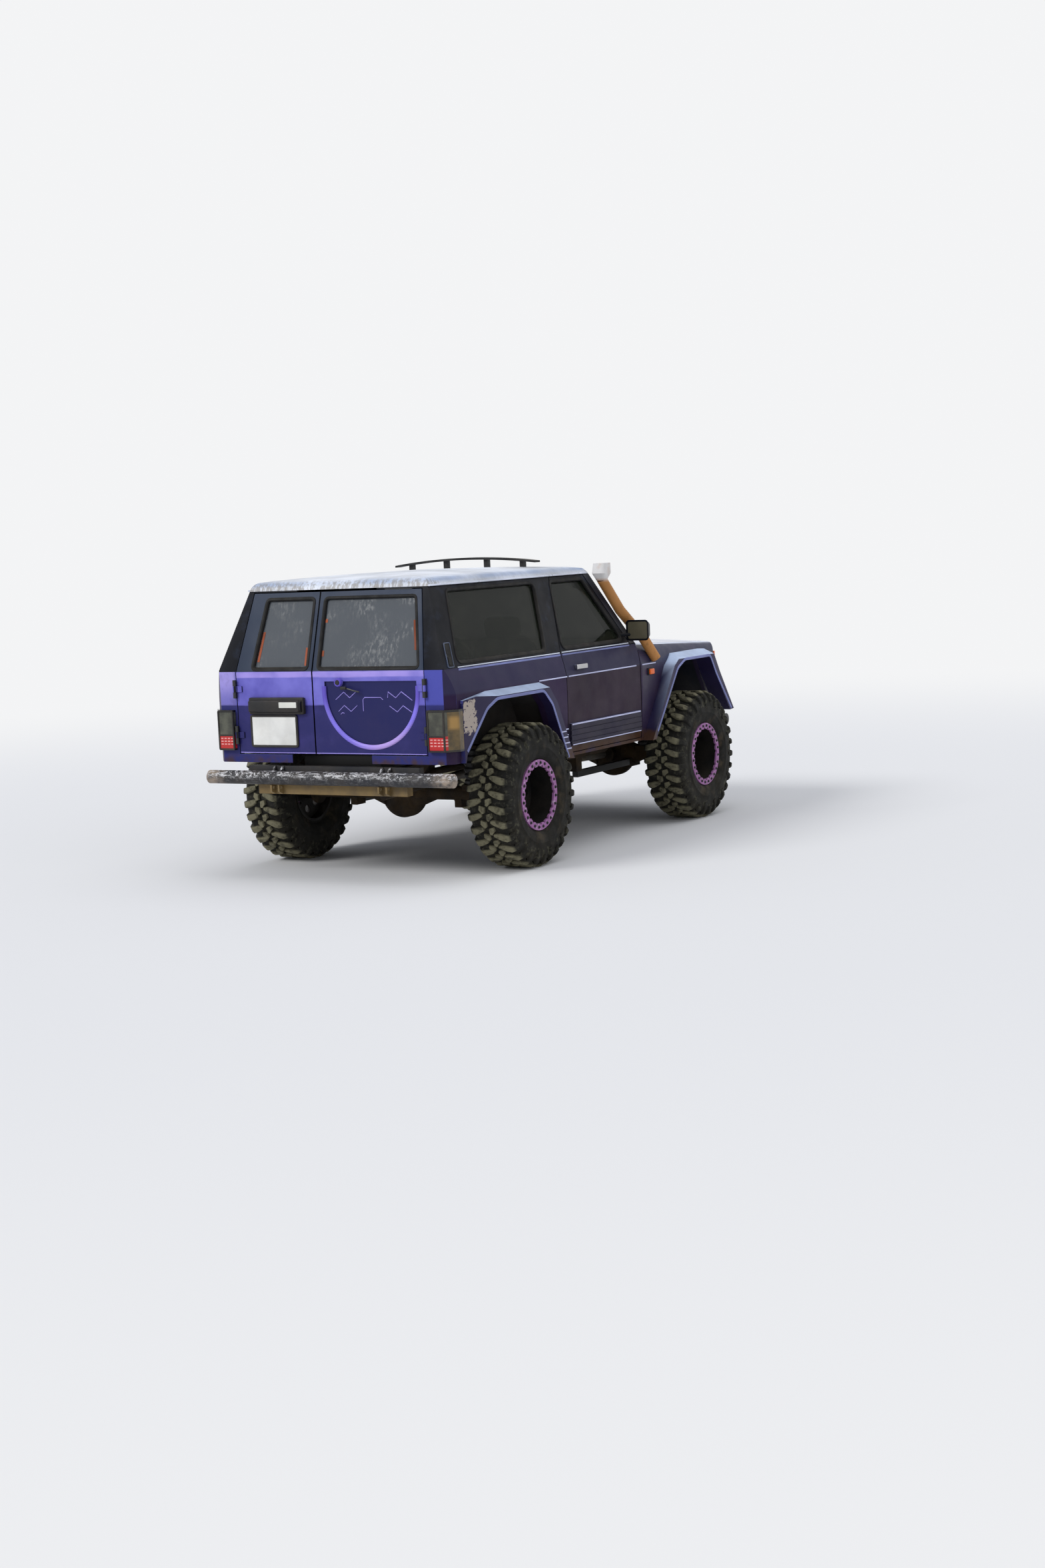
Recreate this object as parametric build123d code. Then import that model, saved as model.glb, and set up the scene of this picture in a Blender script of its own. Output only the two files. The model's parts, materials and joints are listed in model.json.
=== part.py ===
from build123d import *
import math
import os

# Lifted off-road 4x4, three-door body with unequal barn doors at the rear.
# Millimetres. The nose points along -Y, the vehicle's left side is +X, +Z is up.
# The origin lies on the ground, midway along and across the whole vehicle.

os.makedirs("parts", exist_ok=True)

# Driving dimensions: stance
WHEELBASE = 2400
FRONT_REACH = 720
REAR_REACH = 915
HALF_TRACK = 862
AXLE_Z = 457
REAR_AXLE_Y = (FRONT_REACH + WHEELBASE + REAR_REACH) / 2 - REAR_REACH
FRONT_AXLE_Y = REAR_AXLE_Y - WHEELBASE

# Driving dimensions: clearances
SEAM = 0.4
SHUT_GAP = 6
PIN_PLAY = 0.3
HALF = 0.5

# Driving dimensions: tyres and wheels
TYRE_RADIUS = AXLE_Z
LUG_DEPTH = 22
LUG_COUNT = 30
LUG_SHARE = 0.56
LUG_DRAFT = 0.03
SIDE_LUG_END = 92
TREAD_HALF = 108
SECTION_HALF = 156
SIDE_LUG_DROP = 34
RIM_RADIUS = 203
RIM_LIP = 6
RIM_WALL = 11
BEAD_RADIUS = RIM_RADIUS + RIM_LIP + SEAM
BEAD_HALF = 117
RIM_HALF = 121
RING_OUTER = 223
RING_INNER = 180
RING_THICK = 13
RING_SCALLOPS = 24
SCALLOP_RADIUS = 11
DISC_INSET = 48
DISC_THICK = 14
DISC_HOLES = 8
DISC_HOLE_RADIUS = 26
DISC_HOLE_CIRCLE = 128
HUB_RADIUS = 58
HUB_CAP = 24

# Driving dimensions: cabin section, half widths at their heights
SILL_Z = 630
SILL_HALF = 868
CREASE_Z = 1155
CREASE_HALF = 893
BELT_Z = 1300
BELT_HALF = 848
CROWN_Z = 1888
ROOF_CAMBER = 30
ROOF_ROLL = 46
SHOULDER_Z = CROWN_Z - ROOF_CAMBER
SHOULDER_HALF = 606
RAIL_Z = SHOULDER_Z - ROOF_ROLL
RAIL_HALF = 668
WALL = 45
SKIN = 30
GLASS_DEPTH = 14
GLASS_THICK = 5

# Driving dimensions: cabin side profile, distances from the rear axle, + towards the tail
TAIL_SKIN = 820
TAIL_LEAN = 150
TAIL_BOTTOM_Z = 735
TAIL_CORNER = 55
COWL_Y = -1675
SCREEN_BASE = -1662
SCREEN_TOP = -1340
ROOF_NOSE = -1300
ROOF_NOSE_Z = CROWN_Z - 46
ROOF_TAIL = 610
ROOF_TAIL_Z = CROWN_Z - 22
VALANCE_STEP = 455

# Driving dimensions: front doors
DOOR_FRONT = -1652
DOOR_REAR = -610
DOOR_BOTTOM_Z = 656
DOOR_TOP_Z = RAIL_Z - 14
DOOR_SHOULDER = -1578
DOOR_TOP_FRONT = -1258
DOOR_TOP_REAR = -748
DOOR_TAPER = 0.3
DOOR_HINGE_X = 850
DOOR_HINGE_REACH = 52
DOOR_HINGE_HEIGHTS = (830, 1180)
DOOR_FRAME = 42
ARM_HALF = 8
ARM_HEIGHT = 40
DOOR_KNUCKLE = 14
DOOR_PIN = 6
WINDOW_CORNER = 40
QUARTER_CORNER = 45
SCREEN_HALF_LOW = 690
SCREEN_HALF_HIGH = 560
MOULDING_LOW_Z = 700
MOULDING_HIGH_Z = 845
MOULDING_PROUD = 7
MOULDING_GROOVES = (728, 764, 800)
MIRROR_X = 935
MIRROR_Y = -1528
MIRROR_Z = 1400
MIRROR_DEPTH = 72
MIRROR_WIDE = 172
MIRROR_HIGH = 142

# Driving dimensions: rear barn doors
SPLIT_X = 118
SPLIT_GAP = 10
BARN_BOTTOM_Z = 792
BARN_TOP_Z = RAIL_Z - 22
BARN_HALF_BELT = 704
BARN_HALF_TOP = 628
BARN_TAPER = 0.38
BARN_HINGE_HEIGHTS = (908, 1198)
BARN_HINGE_RADIUS = 11
BARN_HINGE_HEIGHT = 112
BARN_HINGE_PROUD = 15
BARN_PIN = 5

# Driving dimensions: front body
NOSE_REACH = 655
NOSE_BOTTOM_Z = 700
HOOD_HALF = 690
HOOD_REAR_Y = COWL_Y - 24
HOOD_HINGE_X = 500
HOOD_HINGE_Z = BELT_Z
HOOD_HINGE_BACK = 11
HOOD_KNUCKLE = 8
HOOD_PIN = 4
HOOD_THICK = 24
BULGE_HEIGHT = 20

ROOF_BAR_Y = -900
ROOF_BAR_HALF = 555
ROOF_BAR_RISE = 44
ROOF_BAR_BOW = 34
ROOF_BAR_THICK = 13
ROOF_BAR_DEPTH = 70
ROOF_BAR_FEET = (-440, -160, 160, 440)
SNORKEL_RADIUS = 36

# Driving dimensions: chassis
RAIL_INNER = 370
RAIL_OUTER = 440
RAIL_LOW_Z = 520
RAIL_HIGH_Z = 640
KICK_Z = 780
CROSS_TUBE = 26
MIDDLE_CROSS_Y = -760
FLOOR_Z = 655
LOAD_FLOOR_Z = 795
FLOOR_STEP = -545
FLOOR_THICK = 16
AXLE_TUBE = 45
SPINDLE = 30
PINION_REACH = 118
KINGPIN_X = 655
KINGPIN = 16
STEER_ARM = 185
ARM_TOP_Z = 424
ARM_DEPTH = 44
FRONT_SEAT = 90
REAR_SEAT = 70
SPRING_X = 515
SPRING_RADIUS = 60
BUMPER_TUBE = 43
BUMPER_HALF = 916
REAR_BUMPER_Z = 645
FRONT_BUMPER_HALF = 850
EYE_RADIUS = 11
EYE_THICK = 12
EYE_REAR = 863
EYE_FRONT = -672
EYE_Z = 582
CASE_FRONT = -1160
CASE_REAR = -940
CASE_SIDE = -250
FRONT_SHAFT_X = -222
REAR_SHAFT_X = 20
REAR_DIFF_X = 20
FRONT_DIFF_X = -250
PERCH_INNER = 455
PERCH_OUTER = 560
PERCH_HALF = 55
EXHAUST_X = -300
EXHAUST_RADIUS = 24
HANGER_RADIUS = 8
HANGER_Z = 532


def yr(distance):
    """A place along the vehicle, given from the rear axle."""
    return REAR_AXLE_Y + distance


def yf(distance):
    """A place along the vehicle, given from the front axle."""
    return FRONT_AXLE_Y + distance


def prism_x(points, x0, x1):
    """A side-view outline of (y, z) points, extruded from x0 to x1."""
    return extrude(Plane.YZ.offset(x0) * Polygon(*points, align=None), x1 - x0, dir=(1, 0, 0))


def prism_y(points, y0, y1):
    """A rear-view outline of (x, z) points, extruded from y0 to y1."""
    return extrude(Plane.XZ.offset(-y0) * Polygon(*points, align=None), y1 - y0, dir=(0, 1, 0))


def prism_z(points, z0, z1):
    """A plan outline of (x, y) points, extruded from z0 to z1."""
    return extrude(Plane.XY.offset(z0) * Polygon(*points, align=None), z1 - z0, dir=(0, 0, 1))


def block(x0, x1, y0, y1, z0, z1):
    """A box between two corners."""
    return Pos((x0 + x1) / 2, (y0 + y1) / 2, (z0 + z1) / 2) * Box(x1 - x0, y1 - y0, z1 - z0)


def rod(start, end, radius):
    """A round bar between two points."""
    a = Vector(*start)
    b = Vector(*end)
    return extrude(Plane(a, z_dir=b - a) * Circle(radius), (b - a).length)


def rounded_x(points, radius, x0, x1):
    """A side-view outline with rounded corners, extruded from x0 to x1."""
    face = Polygon(*points, align=None)
    return extrude(Plane.YZ.offset(x0) * fillet(face.vertices(), radius), x1 - x0, dir=(1, 0, 0))


def rounded_y(points, radius, y0, y1):
    """A rear-view outline with rounded corners, extruded from y0 to y1."""
    face = Polygon(*points, align=None)
    return extrude(Plane.XZ.offset(-y0) * fillet(face.vertices(), radius), y1 - y0, dir=(0, 1, 0))


def pipe_along(path, radius):
    """A round pipe through the path's points, its bends rounded by balls."""
    pipe = rod(path[0], path[1], radius)
    for start, end in zip(path[1:], path[2:]):
        pipe = pipe + Pos(*start) * Sphere(radius) + rod(start, end, radius)
    return pipe


def mirrored(shape):
    """The same piece on the other side of the vehicle."""
    return mirror(shape, about=Plane.YZ)


def save(name, *solids):
    """Writes one node as one STEP file."""
    pieces = []
    for shape in solids:
        pieces.extend(shape.solids())
    export_step(Compound(children=pieces) if len(pieces) > 1 else pieces[0], "parts/" + name + ".step")


# The cabin as nested hulls: a wall or a pane is one hull less another that lies deeper.
def cabin_section(inset, bottom_z):
    """The cabin's cross-section, its sides and roof moved in by the inset."""
    sill = (SILL_HALF - inset, bottom_z)
    crease = (CREASE_HALF - inset, CREASE_Z)
    belt = (BELT_HALF - inset, BELT_Z)
    rail = (RAIL_HALF - inset, RAIL_Z - inset)
    shoulder = (SHOULDER_HALF - inset, SHOULDER_Z - inset)
    crown = (0, CROWN_Z - inset)
    side_mid = ((sill[0] + crease[0]) / 2 + 9, (sill[1] + crease[1]) / 2)
    belt_mid = ((crease[0] + belt[0]) / 2 + 5, (crease[1] + belt[1]) / 2)
    rail_mid = ((rail[0] + shoulder[0]) / 2 + 9, (rail[1] + shoulder[1]) / 2 + 11)

    def flip(point):
        return (-point[0], point[1])

    edges = [
        ThreePointArc(sill, side_mid, crease),
        ThreePointArc(crease, belt_mid, belt),
        Line(belt, rail),
        ThreePointArc(rail, rail_mid, shoulder),
        ThreePointArc(shoulder, crown, flip(shoulder)),
        ThreePointArc(flip(shoulder), flip(rail_mid), flip(rail)),
        Line(flip(rail), flip(belt)),
        ThreePointArc(flip(belt), flip(belt_mid), flip(crease)),
        ThreePointArc(flip(crease), flip(side_mid), flip(sill)),
        Line(flip(sill), sill),
    ]
    return make_face(edges)


def cabin_profile(inset, bottom_z):
    """The cabin's side view between windscreen, roof and rear doors, moved in by the inset."""
    screen_slope = (SCREEN_TOP - SCREEN_BASE) / (RAIL_Z - BELT_Z)
    screen_shift = inset * math.sqrt(1 + screen_slope ** 2)
    tail_slope = TAIL_LEAN / (RAIL_Z - BELT_Z)
    tail_shift = inset * math.sqrt(1 + tail_slope ** 2)
    base = (yr(SCREEN_BASE) + screen_shift, BELT_Z)
    header = (yr(SCREEN_TOP) + screen_shift, RAIL_Z)
    nose = (yr(ROOF_NOSE) + inset, ROOF_NOSE_Z - inset)
    top_mid = (yr((ROOF_NOSE + ROOF_TAIL) / 2), CROWN_Z - inset)
    tail = (yr(ROOF_TAIL) - inset, ROOF_TAIL_Z - inset)
    gutter = (yr(TAIL_SKIN - TAIL_LEAN) - tail_shift, RAIL_Z)
    hip = (yr(TAIL_SKIN) - tail_shift, BELT_Z)
    hem = (yr(TAIL_SKIN) - inset, bottom_z)
    toe = (yr(SCREEN_BASE) + screen_shift, bottom_z)
    gutter_mid = ((tail[0] + gutter[0]) / 2 + 8, (tail[1] + gutter[1]) / 2 + 8)
    edges = [
        Line(toe, base),
        Line(base, header),
        Line(header, nose),
        ThreePointArc(nose, top_mid, tail),
        ThreePointArc(tail, gutter_mid, gutter),
        Line(gutter, hip),
        Line(hip, hem),
        Line(hem, toe),
    ]
    return make_face(edges)


def cabin_hull(inset, bottom_z=SILL_Z):
    """A solid cabin, its surface moved in by the inset."""
    y0 = yr(COWL_Y) - 200
    y1 = yr(TAIL_SKIN) + 100
    across = extrude(Plane.XZ.offset(-y0) * cabin_section(inset, bottom_z), y1 - y0, dir=(0, 1, 0))
    half = CREASE_HALF + 50
    along = extrude(Plane.YZ.offset(-half) * cabin_profile(inset, bottom_z), 2 * half, dir=(1, 0, 0))
    corner = TAIL_CORNER
    tail = yr(TAIL_SKIN) - inset
    side = CREASE_HALF - inset
    plan = prism_z([(-half, y0), (half, y0), (half, tail - corner), (side, tail - corner),
                    (side - corner, tail), (corner - side, tail), (-side, tail - corner),
                    (-half, tail - corner)], bottom_z - 50, CROWN_Z + 50)
    return across & along & plan


CABIN_OUTER = cabin_hull(0)
CABIN_INNER = cabin_hull(WALL, SILL_Z - 60)
CABIN_SHELL = CABIN_OUTER - CABIN_INNER
PANE_LAYER = cabin_hull(GLASS_DEPTH) - cabin_hull(GLASS_DEPTH + GLASS_THICK, SILL_Z - 60)


# Cutters for the front doors: outlines that narrow inwards, so that the door swings free.
def door_cutter(gap):
    """The left front door's outline in the body side, grown by the gap, with a slanted rear edge."""
    outer_x = CREASE_HALF + 60
    inner_x = 500
    drop = DOOR_TAPER * (outer_x - inner_x)
    bottom = DOOR_BOTTOM_Z - gap
    top = DOOR_TOP_Z + gap

    def outline(shift):
        return [
            (yr(DOOR_FRONT + DOOR_HINGE_REACH), bottom),
            (yr(DOOR_REAR) + gap - shift, bottom),
            (yr(DOOR_REAR) + gap - shift, BELT_Z),
            (yr(DOOR_TOP_REAR) + gap - shift, top),
            (yr(DOOR_TOP_FRONT) - gap, top),
            (yr(DOOR_SHOULDER) - gap, BELT_Z + gap),
            (yr(DOOR_FRONT + DOOR_HINGE_REACH), BELT_Z + gap),
        ]

    reference = DOOR_TAPER * (outer_x - BELT_HALF)
    outer = Plane.YZ.offset(outer_x) * Polygon(*outline(-reference), align=None)
    inner = Plane.YZ.offset(inner_x) * Polygon(*outline(drop - reference), align=None)
    edge = loft([outer, inner], ruled=True)
    radius = DOOR_HINGE_REACH + gap
    nose = Pos(DOOR_HINGE_X, yr(DOOR_FRONT + DOOR_HINGE_REACH), bottom) * Cylinder(
        radius, BELT_Z + gap - bottom, align=(Align.CENTER, Align.CENTER, Align.MIN))
    return edge + nose


def window_outline(margin):
    """The front door's window, inside the door's frame."""
    return [
        (yr(DOOR_REAR) - DOOR_FRAME - margin, BELT_Z + 36 + margin),
        (yr(DOOR_TOP_REAR) - DOOR_FRAME - margin, DOOR_TOP_Z - 28 - margin),
        (yr(DOOR_TOP_FRONT) + DOOR_FRAME - 10 + margin, DOOR_TOP_Z - 28 - margin),
        (yr(DOOR_SHOULDER) + DOOR_FRAME + 30 + margin, BELT_Z + 36 + margin),
    ]


def quarter_outline(margin):
    """The long window behind the front door."""
    return [
        (yr(-434) + margin, BELT_Z + 36 + margin),
        (yr(-584) + margin, DOOR_TOP_Z - 26 - margin),
        (yr(490) - margin, DOOR_TOP_Z - 26 - margin),
        (yr(640) - margin, BELT_Z + 36 + margin),
    ]


# Cutters for the rear doors: one prism below the belt, one that leans with the glass above it.
def barn_cutter(inner_x, outer_x, outer_top_x, gap, slant):
    """A rear door's outline in plan, from its shut edge to its hinge edge, at each height."""
    deep = yr(TAIL_SKIN) - 160
    proud = yr(TAIL_SKIN) + 60
    side = 1 if outer_x > inner_x else -1
    cut = side * slant * (proud - deep)
    at_skin = side * slant * (proud - yr(TAIL_SKIN))
    shut = inner_x - side * gap
    low = [(shut - at_skin, proud), (outer_x + side * gap, proud), (outer_x + side * gap, deep),
           (shut - at_skin + cut, deep)]
    lean = TAIL_LEAN * (BARN_TOP_Z + gap - BELT_Z) / (RAIL_Z - BELT_Z)
    high = [(x, y - lean) for x, y in low]
    high[1] = (outer_top_x + side * gap, high[1][1])
    high[2] = (outer_top_x + side * gap, high[2][1])
    lower = prism_z(low, BARN_BOTTOM_Z - gap, BELT_Z)
    foot = Plane.XY.offset(BELT_Z) * Polygon(*low, align=None)
    head = Plane.XY.offset(BARN_TOP_Z + gap) * Polygon(*high, align=None)
    return lower + loft([foot, head], ruled=True)


def barn_opening():
    """The whole opening that both rear doors close."""
    left = barn_cutter(SPLIT_X - 60, BARN_HALF_BELT, BARN_HALF_TOP, SHUT_GAP, 0)
    right = barn_cutter(SPLIT_X + 60, -BARN_HALF_BELT, -BARN_HALF_TOP, SHUT_GAP, 0)
    return left + right


def barn_window(side, margin):
    """A rear door's window, as (x, z) points."""
    if side > 0:
        inner = SPLIT_X + 40
        outer_low = BARN_HALF_BELT - 122
        outer_high = BARN_HALF_TOP - 108
    else:
        inner = SPLIT_X - 42
        outer_low = -BARN_HALF_BELT + 40
        outer_high = -BARN_HALF_TOP + 36
    low = BELT_Z + 20 + margin
    high = BARN_TOP_Z - 40 - margin
    return [(inner + side * margin, low), (outer_low - side * margin, low),
            (outer_high - side * margin, high), (inner + side * margin, high)]


# Wheel arch openings, as (y from the axle, z) outlines.
REAR_ARCH = [(-500, 560), (-280, 999), (-180, 1089), (385, 1089), (486, 1037), (700, 784), (760, 560)]
FRONT_ARCH = [(730, 560), (656, 669), (304, 1094), (190, 1144), (-215, 1144), (-301, 1015), (-600, 640),
              (-640, 560)]


def arch_points(outline, axle_y, grow=0):
    """An arch outline in place, grown away from the wheel."""
    points = []
    for y, z in outline:
        length = math.hypot(y, z - AXLE_Z)
        points.append((axle_y + y * (1 + grow / length), z + (z - AXLE_Z) * grow / length))
    return points


REAR_ARCH_CUT = prism_x(arch_points(REAR_ARCH, REAR_AXLE_Y), 560, 1000)
FRONT_ARCH_CUT = prism_x(arch_points(FRONT_ARCH, FRONT_AXLE_Y), 440, 1000)


# Body sides, roof and windscreen frame, cut from the cabin's shell along the real seams.
def build_body_side():
    """The left quarter panel with its B-pillar, sill and tail corner."""
    region = block(300, 1000, yr(DOOR_FRONT) - 4, yr(TAIL_SKIN) + 50, SILL_Z - 60, DOOR_TOP_Z + SHUT_GAP)
    side = CABIN_SHELL & region
    low = BELT_Z - SHUT_GAP
    high = DOOR_TOP_Z + SHUT_GAP
    ahead = prism_x([(yr(DOOR_FRONT) - 100, low), (yr(DOOR_SHOULDER) + 30, low),
                     (yr(DOOR_TOP_FRONT) + 60, high), (yr(DOOR_FRONT) - 100, high)], 300, 1000)
    foot = block(300, SILL_HALF - WALL, yr(DOOR_FRONT) - 50, yr(DOOR_FRONT) + 160, SILL_Z - 100, BELT_Z)
    side = side - ahead - foot
    side = side - door_cutter(SHUT_GAP)
    side = side - barn_opening()
    side = side - block(300, 1000, yr(VALANCE_STEP), yr(TAIL_SKIN) + 100, SILL_Z - 100, TAIL_BOTTOM_Z)
    side = side - REAR_ARCH_CUT
    side = side - rounded_x(quarter_outline(0), QUARTER_CORNER, 300, 1000)
    return side.solids().sort_by(SortBy.VOLUME)[-1]


def build_roof():
    """The roof skin above the drip rails, with its rolled rail lip."""
    cut_z = DOOR_TOP_Z + SHUT_GAP + SEAM
    roof = CABIN_SHELL & block(-1000, 1000, yr(COWL_Y) - 200, yr(TAIL_SKIN) + 100, cut_z, CROWN_Z + 50)
    lip = None
    for side in (-1, 1):
        strip = prism_y([(side * (RAIL_HALF - 30), cut_z), (side * (RAIL_HALF + 10), cut_z),
                         (side * (RAIL_HALF + 10), cut_z + 10), (side * (RAIL_HALF - 30), cut_z + 10)],
                        yr(SCREEN_TOP) + 30, yr(TAIL_SKIN - TAIL_LEAN))
        lip = strip if lip is None else lip + strip
    return roof + lip


def screen_opening(margin):
    """The windscreen's opening, shrunk by the margin, between the slopes of its own frame."""
    low = BELT_Z + 48 + margin
    high = RAIL_Z - 55 - margin
    wide = SCREEN_HALF_LOW - margin
    narrow = SCREEN_HALF_HIGH - margin
    outline = [(-wide, low), (wide, low), (narrow, high), (-narrow, high)]
    slab = prism_x([(yr(SCREEN_BASE) - 150, BELT_Z - 50), (yr(SCREEN_BASE) + 160, BELT_Z - 50),
                    (yr(SCREEN_TOP) + 160, RAIL_Z + 50), (yr(SCREEN_TOP) - 150, RAIL_Z + 50)], -900, 900)
    return rounded_y(outline, 50, yr(SCREEN_BASE) - 200, yr(SCREEN_TOP) + 300) & slab


def build_windscreen_frame():
    """A-pillars, header and cowl around the windscreen."""
    low = BELT_Z - SHUT_GAP + SEAM
    top = DOOR_TOP_Z + SHUT_GAP
    region = prism_x([(yr(SCREEN_BASE) - 80, low), (yr(DOOR_SHOULDER) + 30 - SEAM, low),
                      (yr(DOOR_TOP_FRONT) + 60 - SEAM, top), (yr(SCREEN_BASE) - 80, top)], -1000, 1000)
    frame = CABIN_SHELL & region
    cutter = door_cutter(SHUT_GAP)
    frame = frame - cutter - mirrored(cutter)
    frame = frame - screen_opening(0)
    cowl = prism_x([(yr(COWL_Y) - 2, low - 60), (yr(COWL_Y) + 42, low - 60), (yr(COWL_Y) + 42, low + 20),
                    (yr(COWL_Y) - 2, low + 20)], -HOOD_HALF - SHUT_GAP + SEAM, HOOD_HALF + SHUT_GAP - SEAM)
    return frame + cowl


def build_body_glass():
    """Windscreen and the two quarter windows."""
    quarter = PANE_LAYER & rounded_x(quarter_outline(SEAM), QUARTER_CORNER, 500, 1000)
    return quarter, mirrored(quarter), PANE_LAYER & screen_opening(SEAM)


# Front doors
def build_front_door():
    """The left front door: shell, window frame, mouldings, handle and mirror."""
    door = CABIN_SHELL & door_cutter(0)
    door = door.solids().sort_by(SortBy.VOLUME)[-1]
    door = door - rounded_x(window_outline(0), WINDOW_CORNER, 400, 1000)
    hinge_y = yr(DOOR_FRONT + DOOR_HINGE_REACH)
    reach = DOOR_HINGE_REACH + 4 * ARM_HALF
    sweep = [(DOOR_HINGE_X, hinge_y)]
    for degrees in (155, 180, 205, 230, 255, 280):
        angle = math.radians(degrees)
        sweep.append((DOOR_HINGE_X + reach * math.cos(angle), hinge_y + reach * math.sin(angle)))
    slot = ARM_HEIGHT / 2 + SHUT_GAP
    for height in DOOR_HINGE_HEIGHTS:
        door = door - prism_z(sweep, height - slot, height + slot)
        door = door - Pos(DOOR_HINGE_X, hinge_y, height) * Cylinder(DOOR_KNUCKLE + SHUT_GAP, 2 * slot)
        door = door - Pos(DOOR_HINGE_X, hinge_y, height) * Cylinder(DOOR_PIN + PIN_PLAY, 2 * ARM_HEIGHT + 10)
    door = door + block(CREASE_HALF - 2 * MOULDING_PROUD, CREASE_HALF + MOULDING_PROUD, yr(DOOR_FRONT) + 40,
                        yr(DOOR_REAR) - 8, MOULDING_LOW_Z, MOULDING_HIGH_Z)
    for low in MOULDING_GROOVES:
        door = door - block(CREASE_HALF + 1, CREASE_HALF + 2 * MOULDING_PROUD, yr(DOOR_FRONT), yr(DOOR_REAR),
                            low, low + 6)
    handle = block(CREASE_HALF - 36, CREASE_HALF + 12, yr(-850), yr(-720), 1196, 1222)
    pocket = block(CREASE_HALF - 40, CREASE_HALF + 4, yr(-838), yr(-732), 1180, 1214)
    door = door + (handle - pocket)
    return door


def build_mirror():
    """The left door mirror on its arm, open towards the tail for the glass."""
    rear = yr(MIRROR_Y)
    arm = rod((800, rear + 40, MIRROR_Z - 28), (MIRROR_X - 55, rear - 20, MIRROR_Z - 28), 12)
    back = RectangleRounded(MIRROR_WIDE, MIRROR_HIGH, 24)
    front = RectangleRounded(MIRROR_WIDE - 34, MIRROR_HIGH - 34, 24)
    head = loft([Plane.XZ.offset(-rear) * Pos(MIRROR_X, MIRROR_Z) * back,
                 Plane.XZ.offset(MIRROR_DEPTH - rear) * Pos(MIRROR_X - 7, MIRROR_Z) * front])
    pane = RectangleRounded(MIRROR_WIDE - 20, MIRROR_HIGH - 20, 18)
    face = Plane.XZ.offset(-rear - 10) * Pos(MIRROR_X, MIRROR_Z) * pane
    return arm, head - extrude(face, 16, dir=(0, -1, 0))


def build_door_glass():
    """The left front door's window pane."""
    return PANE_LAYER & rounded_x(window_outline(SEAM), WINDOW_CORNER, 400, 1000)


# Rear doors
def build_barn_door(side):
    """A rear door: shell, window, hinges and its own fittings."""
    if side > 0:
        cutter = barn_cutter(SPLIT_X + SPLIT_GAP / 2, BARN_HALF_BELT, BARN_HALF_TOP, 0, BARN_TAPER)
    else:
        cutter = barn_cutter(SPLIT_X - SPLIT_GAP / 2, -BARN_HALF_BELT, -BARN_HALF_TOP, 0, BARN_TAPER)
    door = CABIN_SHELL & cutter
    door = door.solids().sort_by(SortBy.VOLUME)[-1]
    door = door - rounded_y(barn_window(side, 0), 26, yr(TAIL_SKIN) - 400, yr(TAIL_SKIN) + 100)
    skin = yr(TAIL_SKIN)
    for height in BARN_HINGE_HEIGHTS:
        axis = (side * (BARN_HALF_BELT + 8), skin + BARN_HINGE_PROUD)
        third = BARN_HINGE_HEIGHT / 3
        leaf = block(*sorted((side * (BARN_HALF_BELT - 42), side * (BARN_HALF_BELT - 1))), skin - 6, skin + 8,
                     height - third / 2, height + third / 2)
        knuckle = Pos(axis[0], axis[1], height) * Cylinder(BARN_HINGE_RADIUS, third)
        bridge = block(*sorted((axis[0], axis[0] - side * 14)), skin + 2, skin + 15, height - third / 2,
                       height + third / 2)
        bore = Pos(axis[0], axis[1], height) * Cylinder(BARN_PIN + PIN_PLAY, third + 2)
        door = (door + leaf + bridge + knuckle) - bore
    if side > 0:
        box = block(SPLIT_X + 70, SPLIT_X + 468, skin - 4, skin + 46, 1048, 1136)
        door = door + chamfer(box.edges().filter_by(Axis.X).group_by(Axis.Y)[-1], 22)
        plate = block(SPLIT_X + 130, SPLIT_X + 470, skin - 4, skin + 5, 838, 1030)
        door = door + plate
    else:
        centre_x = -312
        recess_half = 338
        recess_depth = 9
        arc_z = 1180
        outline = make_face([Line((centre_x - recess_half, 1243), (centre_x + recess_half, 1243)),
                             Line((centre_x + recess_half, 1243), (centre_x + recess_half, arc_z)),
                             ThreePointArc((centre_x + recess_half, arc_z), (centre_x, arc_z - recess_half),
                                           (centre_x - recess_half, arc_z)),
                             Line((centre_x - recess_half, arc_z), (centre_x - recess_half, 1243))])
        door = door - extrude(Plane.XZ.offset(-skin - 1) * outline, recess_depth + 1, dir=(0, -1, 0))
        lock = Pos(-88, skin + 8, 1237) * Rot(90, 0, 0) * Cylinder(24, 30)
        door = door + lock
    return door


def build_barn_glass(side):
    """A rear door's window pane."""
    cutter = rounded_y(barn_window(side, SEAM), 26, yr(TAIL_SKIN) - 400, yr(TAIL_SKIN) + 100)
    return PANE_LAYER & cutter


def build_barn_hinges():
    """Body-side knuckles and pins of the rear doors' hinges, both sides."""
    pieces = []
    skin = yr(TAIL_SKIN)
    for side in (-1, 1):
        for height in BARN_HINGE_HEIGHTS:
            axis = (side * (BARN_HALF_BELT + 8), skin + BARN_HINGE_PROUD)
            third = BARN_HINGE_HEIGHT / 3
            hinge = Pos(axis[0], axis[1], height) * Cylinder(BARN_PIN, BARN_HINGE_HEIGHT - 4)
            for offset in (-third - 1, third + 1):
                centre = height + offset
                hinge = hinge + Pos(axis[0], axis[1], centre) * Cylinder(BARN_HINGE_RADIUS, third)
                wide = sorted((axis[0], side * (BARN_HALF_BELT + 22)))
                hinge = hinge + block(*wide, skin + SEAM, skin + 12, centre - third / 2, centre + third / 2)
            pieces.append(hinge)
    return pieces


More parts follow.
